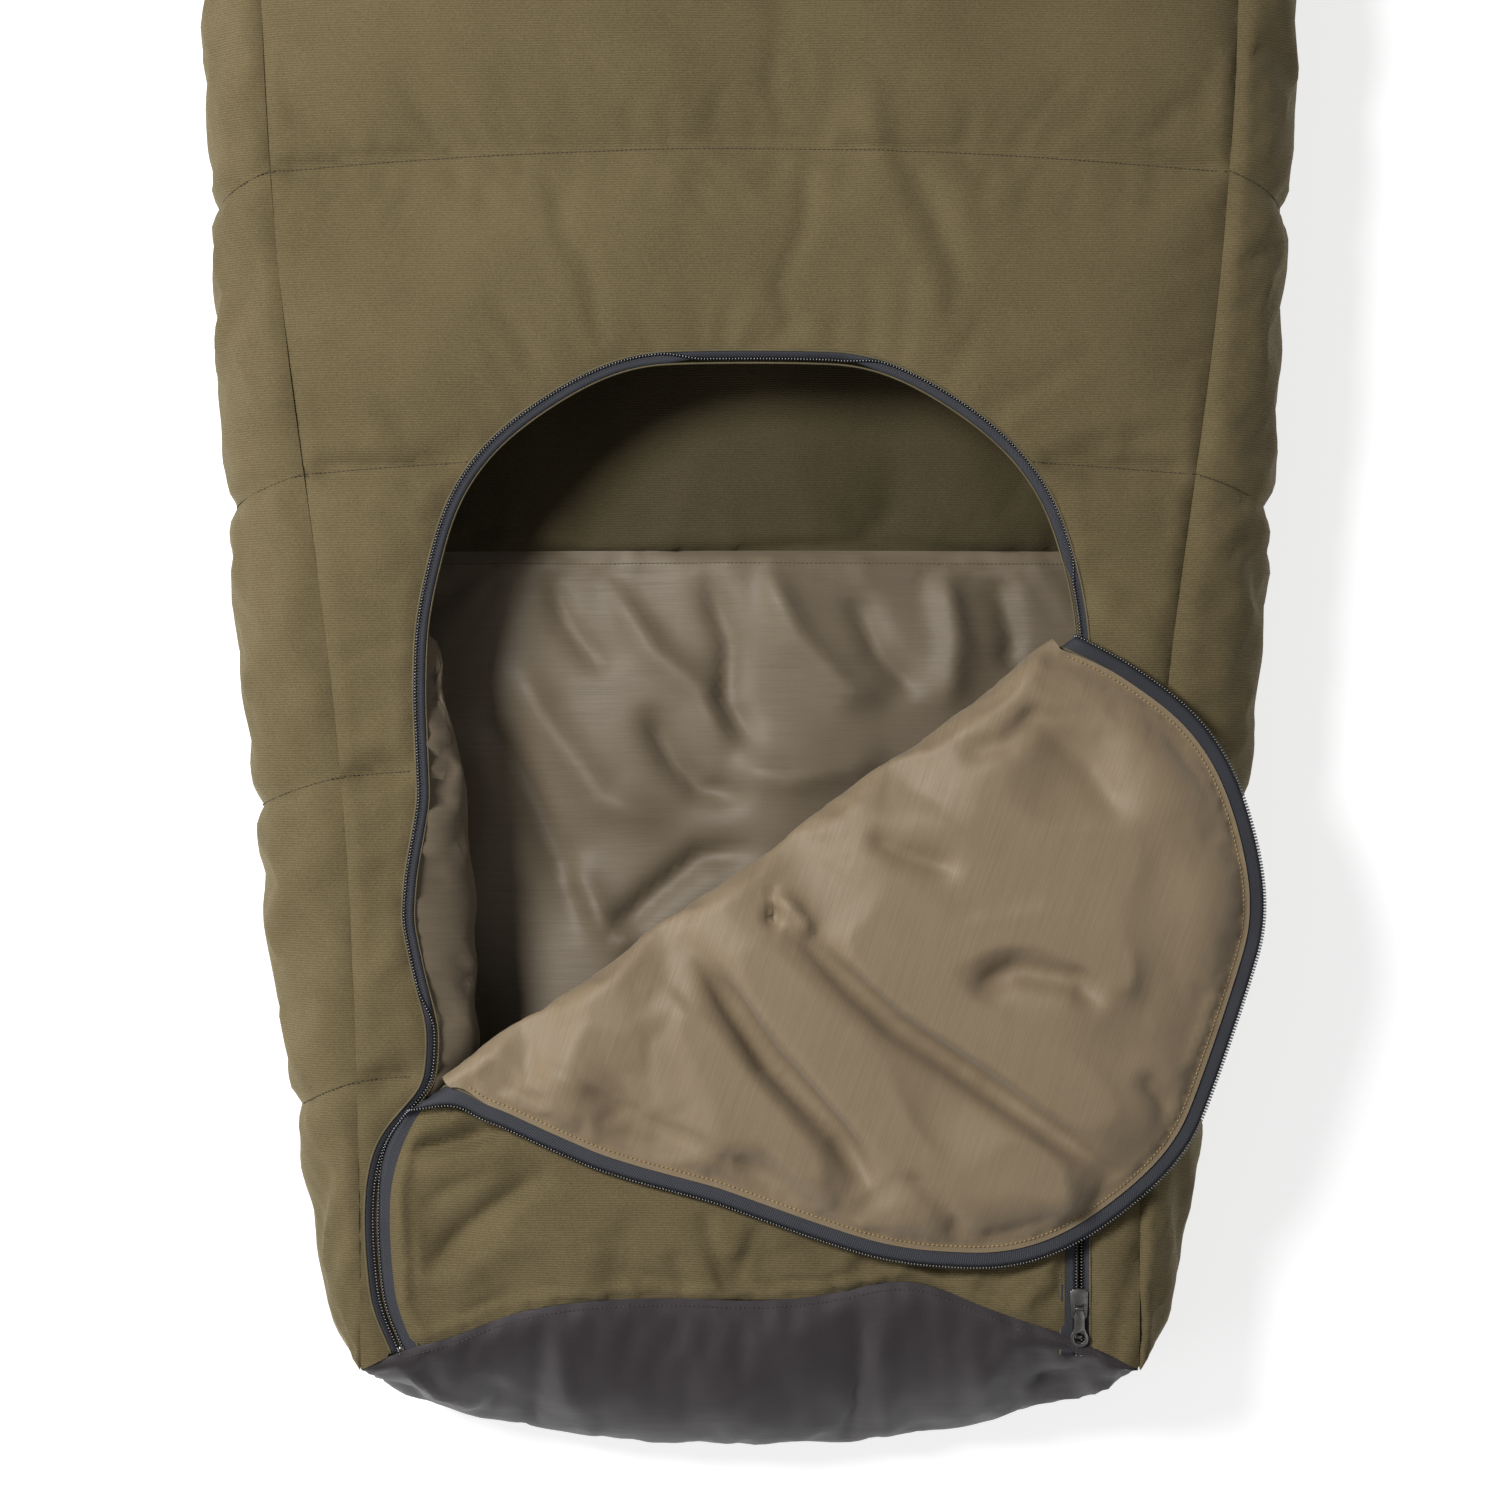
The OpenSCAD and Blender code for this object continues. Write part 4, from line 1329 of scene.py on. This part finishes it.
def makeFlapLining():
    outline, rim = flapDomain(flap["liningRoll"])
    stitchLine = toFold(foldOver(stitchPath()))
    flat, faces, held, stitched = cutPanel(outline, [stitchLine], flap["step"])
    t, c = flat.T
    ground = fromFold(t, np.maximum(c, 0))
    rimGap, _ = toLine(flat, rim)
    endGap = np.minimum(np.abs(t - rim[0, 0]), np.abs(t - rim[-1, 0]))
    rimGap = np.where(c < 0, np.minimum(rimGap, endGap), rimGap)
    low = flap["rimRise"]
    rise = low + (flap["roll"] - low) * smooth((rimGap - 1) / 32)
    front = foldFront(t)
    start = rise + front
    angle = np.clip((start - c) / rise, 0, math.pi)
    b = np.where(c >= start, c, rise + front - rise * np.sin(angle))
    over = np.where(c >= start, 1.0, np.cos(angle))
    crown = 5 * smooth(rimGap / 45) * smooth((c - 5) / 40)
    shape = 0.5 * folds(ground, flapFolds) + 2.4 * noise(ground[:, 0], ground[:, 1], 120, 41)
    shape *= smooth((rimGap - 3) / 16)
    stitchGap, _ = toLine(flat, stitchLine)
    top = rise + np.where(c >= start, crown + shape, (crown + shape) * np.maximum(np.cos(angle), 0))
    top -= 1.6 * bell(stitchGap, 3.5)
    h = hinge + np.where(c >= start, top, top * over)
    spots = fromFold(t, b)
    # the fold's own axes are a mirror image of the plan, so the faces are turned over
    faces = [f[::-1] for f in faces]
    piece = makeMesh("flapLining", np.column_stack([spots, h]), faces)
    fixed = held | stitched | (angle > 0.6 * math.pi)
    addCloth(piece, fixed, flap["pressure"], flap["grow"], flap["cap"])
    return piece, flat, rimGap, ground


def stitchPath():
    line = zipOffset(plan["tapeWidth"] + flap["stitchIn"], body=False)
    return line[foldSide(line) < -7]


def finishFlapLining(piece, flat, rimGap, ground):
    rim = toFold(foldedRim)
    c = flat[:, 1]
    amount = puckers(flat, rim, 15, 15, 1.7, 45) * smooth(c / 12)
    amount += 1.55 * folds(ground, flapFolds) * smooth((rimGap - 6) / 14) * smooth((c - 6) / 18)
    pushOut(piece, amount)
    co = coordsOf(piece.data)
    co[:, 2] = np.where(c > 22, np.maximum(co[:, 2], flap["lowest"] / 1000), co[:, 2])
    setCoords(piece.data, co)
    clampHeight(piece, 0, flap["highest"])
    paint(piece, taffetaFoldedLit, "lining_taffeta")
    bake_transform(piece)
    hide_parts("flap_lining", "flap_base_lining", "flap_padding")


def makeFlapShell():
    # the outer cloth, inside the fold
    outline, rim = flapDomain(flap["shellRoll"])
    flat, faces, _, _ = cutPanel(outline, [], 6.5)
    t, c = flat.T
    rimGap, _ = toLine(flat, rim)
    radius = hinge - topHeight
    angle = np.clip(-c / radius, 0, math.pi)
    recess = 4 * (1 - np.clip(np.abs(t) / foldReach, 0, 1) ** 2)
    b = np.where(c >= recess, c, recess * (1 - np.clip(-c / 6, 0, 1)) - radius * np.sin(angle))
    h = np.where(c >= 0, hinge + radius, hinge + radius * np.cos(angle))
    wave = 0.9 * noise(t, c, 80, 51) + 0.4 * noise(t, c, 30, 52)
    away = smooth((c - 4) / 25) * smooth((rimGap - 6) / 25)
    h = h + (0.6 + 0.6 * wave) * away + 1.6 * bell(rimGap, 4) * smooth(c / 6)
    # nothing of the upper part may come down below the top of the roll
    h = np.where(c >= recess, np.maximum(h, hinge + radius + 0.02), h)
    spots = fromFold(t, b)
    piece = makeMesh("flapShell", np.column_stack([spots, h]), faces)
    paint(piece, oliveTricot, "outer_fabric")
    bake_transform(piece)
    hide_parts("flap_shell")


def lengthAlong(line):
    return np.concatenate([[0], np.cumsum(np.linalg.norm(np.diff(line, axis=0), axis=1))])


def bodyRun(d, height, rolled=None):
    # rolled is the same run where the loose strand has turned over, with its coil against the panel
    line = zipOffset(d)
    if rolled is not None:
        x, s = zipLine.T
        onArch = np.interp(x, [-60, -30, 62, 92], [1, 0, 0, 1])
        onSides = np.where(x < 0, smooth((s - 296) / 26), smooth((s - 592) / 24))
        turn = np.where(s > 700, smooth(onArch), onSides)[:, None]
        line = line * (1 - turn) + zipOffset(rolled) * turn
    return np.column_stack([line, np.full(len(line), float(height))])


def flapRun(d, drop):
    # one run of the flap's zip: up one side of the base, round the fold, round the flap, and down again
    line = zipOffset(d, body=False)
    left, last = leftTurn(d)
    first = int(np.argmax(foldSide(line) <= 0))
    a, b = line[first - 1], line[first]
    cross = crossFold(a, b)
    radius = hinge - (zipPlane + drop)
    turns = np.linspace(0.08, 0.92, 9) * math.pi
    run = [(*point, zipPlane + drop) for point in line[:first]]
    for spot, order in ((cross, turns), (left[0], turns[::-1])):
        for turn in order:
            run.append((*(spot - radius * math.sin(turn) * foldAcross), hinge - radius * math.cos(turn)))
        if spot is cross:
            run += [(*point, 2 * hinge - zipPlane - drop) for point in foldOver(line[first:last])]
    run += [(*point, zipPlane + drop) for point in left[1:]]
    return roundTurn(np.array(run))


def roundTurn(run):
    # rounds the turn at the fold, and leaves the rest as it is
    run = resample(run, 2.0)
    soft = run.copy()
    evenOut(soft, 60)
    near = bell(foldSide(run), 22)
    near *= smooth((200 - (np.abs(np.abs((run[:, :2] - foldMiddle) @ foldAlong) - 250))) / 60)
    return run + (soft - run) * near[:, None]


def ribbon(name, runs, thick):
    # a tape between the first and last run, with its twill running along it
    count = min(len(resample(run, 3.0)) for run in runs)
    lines = []
    for run in runs:
        marks = lengthAlong(run)
        at = np.linspace(0, marks[-1], count)
        lines.append(np.column_stack([np.interp(at, marks, run[:, j]) for j in range(3)]))
    points, faces = np.vstack(lines), []
    for r in range(len(lines) - 1):
        for k in range(count - 1):
            a = r * count + k
            faces.append((a, a + 1, a + 1 + count, a + count))
    piece = makeMesh(name, points, faces)
    layer = piece.data.uv_layers.new(name="UVMap")
    length = lengthAlong(lines[0]) / 1000
    step = np.linalg.norm(lines[-1][0] - lines[0][0]) / 1000 / (len(lines) - 1)
    for polygon in piece.data.polygons:
        for loop in polygon.loop_indices:
            vertex = piece.data.loops[loop].vertex_index
            layer.data[loop].uv = (length[vertex % count], step * (vertex // count))
    shell = piece.modifiers.new("thickness", "SOLIDIFY")
    shell.thickness = thick / 1000
    shell.offset = 0
    bake(piece)
    return piece


def makeZip():
    inner, width = plan["coilInset"] + plan["coilWidth"], plan["tapeWidth"]
    middle = plan["coilInset"] + plan["coilWidth"] / 2
    edge = zipParts["bodyTape"]
    spans = [(edge + 0.8, 0.0, edge + 0.8), (edge - 0.6, 0.4, edge - 0.4), (edge - 2.2, 0.2, 4.2),
             (5, 0, 2.2), (inner - 0.3, 0, -0.2)]
    runs = [bodyRun(-d, zipPlane + lift, -over) for d, lift, over in spans]
    bodyTape = ribbon("bodyZipTape", runs, zipParts["tapeThick"])
    paint(bodyTape, tapeTwill, "zip_tape")
    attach(bodyTape, "root")
    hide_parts("body_zip_tape")
    spans = [(inner - 0.3, 0), (5, 0), (8, 0.1), (width - 1, 0.4), (width + 1.5, 0.4)]
    flapTape = ribbon("flapZipTape", [flapRun(d, lift) for d, lift in spans], zipParts["tapeThick"])
    paint(flapTape, tapeTwill, "zip_tape")
    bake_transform(flapTape)
    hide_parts("flap_zip_tape", "flap_base_zip_tape")
    tooth = {"Pitch": zipParts["toothPitch"], "Along": 0.78, "Across": 1.35, "Height": 1.4}
    bodyCoil = beadsAlong("bodyZipCoil", [bodyRun(-middle, zipPlane + 0.9, -edge + 1.2)], tooth, coilPlastic)
    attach(bodyCoil, "root")
    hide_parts("body_zip_coil")
    flapCoil = beadsAlong("flapZipCoil", [flapRun(middle, -0.3)], tooth, coilPlastic)
    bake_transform(flapCoil)
    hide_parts("flap_zip_coil", "flap_base_zip_coil")
    # a row of thread along the tape sews the coil down
    rowSizes = {"Pitch": 2.2, "Along": 0.8, "Across": 0.22, "Height": 0.2}
    rowRun = bodyRun(-(inner + 1.0), zipPlane + 0.6, -edge + 3.4)
    rows = beadsAlong("bodyTapeThread", [rowRun], rowSizes, darkThread)
    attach(rows, "root")
    piping = tubeAlong("archPiping", [bodyRun(-edge - 0.2, zipPlane + 1.0)], zipParts["piping"])
    paint(piping, oliveThread, "outer_fabric")
    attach(piping, "root")
    liningCord = tubeAlong("liningPiping", [bodyRun(0.9, zipPlane - 0.8)], zipParts["inPiping"])
    paint(liningCord, oliveThread, "lining_taffeta")
    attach(liningCord, "root")
    rim = tubeAlong("flapPiping", [flapRun(width + 0.4, 0.2)], zipParts["piping"])
    paint(rim, oliveThread, "outer_fabric")
    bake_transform(rim)
    print("the zip is sewn in")


thread = {"quilt": {"Pitch": 3.1, "Along": 1.35, "Across": 0.42, "Height": 0.36},
          "gold": {"Pitch": 3.1, "Along": 1.15, "Across": 0.6, "Height": 0.55}}


def dropTo(piece, line, lift):
    # lays a line of points on top of a finished piece
    tree = bvhOf(piece)
    out = []
    for x, s in line:
        spot = tree.ray_cast((x / 1000, s / 1000 + footY, 1.0), (0, 0, -1))[0]
        if spot is not None:
            out.append((x, s, spot.z * 1000 + lift))
    return np.array(out)


def bvhOf(piece):
    mesh = piece.data
    points = [v.co.copy() for v in mesh.vertices]
    return BVHTree.FromPolygons(points, [tuple(p.vertices) for p in mesh.polygons])


def makeThread(topShell, footCapPiece, flapLiningPiece, backLower):
    lines = []
    for line in quiltLines:
        edgeGap = toLine(line, panelEdge)[0]
        clear = ~inside(line, np.vstack([panelEdge, panelEdge[:1]])) & (edgeGap > 1)
        start = None
        for k in range(len(line) + 1):
            if k < len(line) and clear[k]:
                start = k if start is None else start
            elif start is not None:
                if k - start > 2:
                    lines.append(dropTo(topShell, resample(line[start:k], 4), 0.15))
                start = None
    for side in (-1, 1):
        for line in gussetLines:
            fine = resample(line, 4)
            points = gussetPoint(side, fine[:, 0], fine[:, 1])
            u = fine[:, 0] / gusset["width"]
            pinch = (gusset["pinch"] * np.sin(math.pi * u) ** 0.5 - 0.15)[:, None]
            points -= np.column_stack([side * np.sin(math.pi * u), 0 * u, -np.cos(math.pi * u)]) * pinch
            lines.append(points)
    # the quilting stitches also carry painted shade along the crease lines
    quilting = beadsAlong("quiltStitches", [l for l in lines if len(l) > 2], thread["quilt"], quiltThreadAndShade)
    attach(quilting, "root")
    gold = foldOver(stitchPath())
    goldLine = dropTo(flapLiningPiece, resample(gold, 3), 0.4)
    goldStitches = beadsAlong("flapStitches", [goldLine], thread["gold"], goldThread)
    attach(goldStitches, "flap")
    seam = [(x, footTop(x) - 5) for x in np.linspace(-232, 232, 120)]
    capStitches = beadsAlong("capStitches", [dropTo(footCapPiece, seam, 0.15)], thread["quilt"], darkThread)
    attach(capStitches, "root")
    row = [(x, plan["liningSeam"] - 9) for x in np.linspace(-300, 300, 150)]
    liningStitches = beadsAlong("liningStitches", [dropTo(backLower, row, 0.2)], thread["quilt"], oliveThread)
    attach(liningStitches, "root")
    print("the stitches are in")


def makeHem():
    # binding rolled over all layers at the mouth
    s = endS
    u = np.linspace(0, 1, 40)
    right = gussetPoint(1, u * gusset["width"], np.full(len(u), s))
    half = seamHalf(s)
    xs = np.linspace(half, -half, 80)
    tops = [(x, s, topHeight + topPanel["crown"] * (1 - (x / half) ** 2)) for x in xs]
    left = right[::-1] * np.array([-1, 1, 1])
    under = [(x, s, 0.6) for x in np.linspace(-half, half, 80)]
    loop = np.vstack([right, tops[1:], left[1:], under[1:-1]])
    loop = resample(np.vstack([loop, loop[:1]]), 7)[:-1]
    d = np.roll(loop, -1, axis=0) - np.roll(loop, 1, axis=0)
    d /= np.linalg.norm(d, axis=1)[:, None]
    out = np.column_stack([d[:, 2], np.zeros(len(d)), -d[:, 0]])
    centre = loop.mean(0)
    if ((loop - centre) * out).sum() < 0:
        out = -out
    section = [(1.2, -10), (1.7, -4), (1.4, 4), (-1.5, 10.5), (-6, 12),
               (-10.5, 10.5), (-13.0, 4), (-13.4, -4), (-12.6, -10)]
    wave = 0.5 * np.sin(np.arange(len(loop)) * 1.9) + 0.4 * np.sin(np.arange(len(loop)) * 0.73 + 1)
    points, faces = [], []
    for k in range(len(loop)):
        for j, (away, along) in enumerate(section):
            spot = loop[k] + out[k] * (away + wave[k] * (0.5 if j < 3 else 0))
            points.append((spot[0], s + along, max(spot[2], 0.2)))
    n = len(section)
    for k in range(len(loop)):
        nextK = (k + 1) % len(loop)
        for j in range(n - 1):
            faces.append((k * n + j, nextK * n + j, nextK * n + j + 1, k * n + j + 1))
    piece = makeMesh("mouthHem", np.array(points), faces)
    refine(piece)
    paint(piece, charcoalCloth, "foot_fabric")
    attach(piece, "root")
    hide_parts("mouth_hem")


def softenNode(node, name, body, width):
    # the same part with its sharp edges broken
    source = frame["nodes"][node]
    mesh = source.data.copy()
    mesh.name = name
    piece = bpy.data.objects.new(name, mesh)
    bpy.context.scene.collection.objects.link(piece)
    work = bmesh.new()
    work.from_mesh(mesh)
    bmesh.ops.remove_doubles(work, verts=work.verts, dist=1e-6)
    bmesh.ops.dissolve_limit(work, angle_limit=0.03, verts=work.verts, edges=work.edges)
    work.to_mesh(mesh)
    work.free()
    bevel = piece.modifiers.new("edges", "BEVEL")
    bevel.width = width / 1000
    bevel.segments = 2
    bevel.limit_method = "ANGLE"
    bevel.angle_limit = 0.6
    bake(piece)
    for polygon in piece.data.polygons:
        polygon.use_smooth = True
    smoothByAngle(piece)
    paint(piece, sliderMetal, "slider_metal")
    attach(piece, body)
    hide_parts(node)
    return piece


def smoothByAngle(piece):
    mesh = piece.data
    work = bmesh.new()
    work.from_mesh(mesh)
    for edge in work.edges:
        edge.smooth = len(edge.link_faces) == 2 and edge.calc_face_angle(0) < 0.6
    work.to_mesh(mesh)
    work.free()


def makeStops():
    # a short crimp on each side, as rings of width and height at places along the zip
    crimp = [(-2.2, 1.2, 0.5), (-1.8, 2.7, 1.3), (0, 3.0, 1.5), (1.8, 2.7, 1.3), (2.2, 1.2, 0.5)]
    points, faces = [], []
    for side in (-1, 1):
        line = zipOffset(0)
        spot = 80 if side < 0 else 87
        near = [p for p in line if p[0] * side > 0]
        x, s = min(near, key=lambda p: abs(p[1] - spot))
        rings = []
        for v, wide, tall in crimp:
            ring = len(points)
            for j in range(12):
                a = math.tau * j / 12
                points.append((x + wide * math.cos(a), s + v, zipPlane + tall * math.sin(a)))
            rings.append(ring)
        for a, b in zip(rings[:-1], rings[1:]):
            for j in range(12):
                k = (j + 1) % 12
                faces.append((a + j, b + j, b + k, a + k))
        faces.append(tuple(rings[0] + j for j in range(12)))
        faces.append(tuple(rings[-1] + j for j in reversed(range(12))))
    piece = makeMesh("zipEndStops", np.array(points), faces)
    paint(piece, sliderMetal, "slider_metal")
    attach(piece, "root")
    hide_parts("zip_end_stops")


topPiece, topFlat = makeTopShell()
leftPiece, leftFlat = makeGusset(-1, 101)
rightPiece, rightFlat = makeGusset(1, 131)
capPiece, capFlat = makeFootCap()
basePiece, baseFlat = makeFlapBase()
liningPiece, liningFlat, liningGap, liningGround = makeFlapLining()
liningFoot, liningSeam = 66, plan["liningSeam"]
lowerPiece, lowerFlat = makeBackLining("backLiningLower", liningFoot, liningSeam, 61)
upperPiece, upperFlat = makeBackLining("backLiningUpper", liningSeam, endS, 63)
print("cloths are cut")
runCloths()
finishTopShell(topPiece, topFlat)
finishGusset(leftPiece, leftFlat, -1)
finishGusset(rightPiece, rightFlat, 1)
finishFootCap(capPiece, capFlat)
finishFlapBase(basePiece, baseFlat)
finishFlapLining(liningPiece, liningFlat, liningGap, liningGround)
finishBackLining(lowerPiece, lowerFlat, taffetaInShade, "lining_taffeta", "back_lining_lower")
# the upper back lining's olive is darkened as painted shade
finishBackLining(upperPiece, upperFlat, oliveInnerShaded, "inner_fabric", "back_lining_upper")
makeFlapShell()
makeBackShell()
makeSideLining(-1, 111)
makeSideLining(1, 141)
makeFootLining()
makeTopLining()
makeHem()
print("panels are finished")
makeZip()
makeThread(topPiece, capPiece, liningPiece, lowerPiece)
makeStops()
softenNode("slider_body", "sliderBody", "slider", 0.25)
softenNode("slider_bridge", "sliderBridge", "slider", 0.15)
softenNode("pull_tab", "pullTab", "pull", 0.3)


# the camera stands above the foot half and takes in frameWidth metres at the height of plane
studio = {"lens": 85.0, "frameWidth": 1.02, "plane": 0.1, "lookAt": 0.4835,
          "world": 0.2, "key": 96.0, "fill": 5.0, "low": 12.0}


def makeStudio():
    bpy.ops.mesh.primitive_plane_add(size=60, location=(0, 0, -0.0006))
    floor = bpy.context.object
    floor.name = "floor"
    material, _, shader, _ = startMaterial("paper")
    shader.inputs["Base Color"].default_value = (0.5, 0.5, 0.5, 1)
    shader.inputs["Emission Color"].default_value = (1, 1, 1, 1)
    shader.inputs["Emission Strength"].default_value = 0.72
    shader.inputs["Roughness"].default_value = 0.9
    floor.data.materials.append(material)
    world = bpy.data.worlds.new("studio")
    bpy.context.scene.world = world
    world.use_nodes = True
    back = world.node_tree.nodes["Background"]
    back.inputs["Color"].default_value = (1, 1, 1, 1)
    back.inputs["Strength"].default_value = studio["world"]
    addLamp("keyLight", (-1.55, 0.3, 2.2), (0, -0.55, 0.1), 0.9, studio["key"])
    addLamp("fillLight", (1.6, -1.2, 2.2), (0, -0.55, 0.1), 1.8, studio["fill"])
    addLamp("lowLight", (-1.9, -1.7, 0.9), (-0.2, -0.8, 0.05), 0.9, studio["low"])
    camera = bpy.data.cameras.new("camera")
    camera.lens = studio["lens"]
    camera.clip_end = 100
    holder = bpy.data.objects.new("camera", camera)
    bpy.context.scene.collection.objects.link(holder)
    away = studio["frameWidth"] * studio["lens"] / camera.sensor_width
    holder.location = (0, footY + studio["lookAt"], studio["plane"] + away)
    bpy.context.scene.camera = holder
    bpy.context.scene.view_settings.view_transform = "Standard"


def addLamp(name, spot, aim, size, power):
    lamp = bpy.data.lights.new(name, "AREA")
    lamp.shape = "DISK"
    lamp.size = size
    lamp.energy = power
    holder = bpy.data.objects.new(name, lamp)
    bpy.context.scene.collection.objects.link(holder)
    holder.location = spot
    toward = np.array(aim) - np.array(spot)
    holder.rotation_euler = Vector(toward).to_track_quat("-Z", "Y").to_euler()


makeStudio()
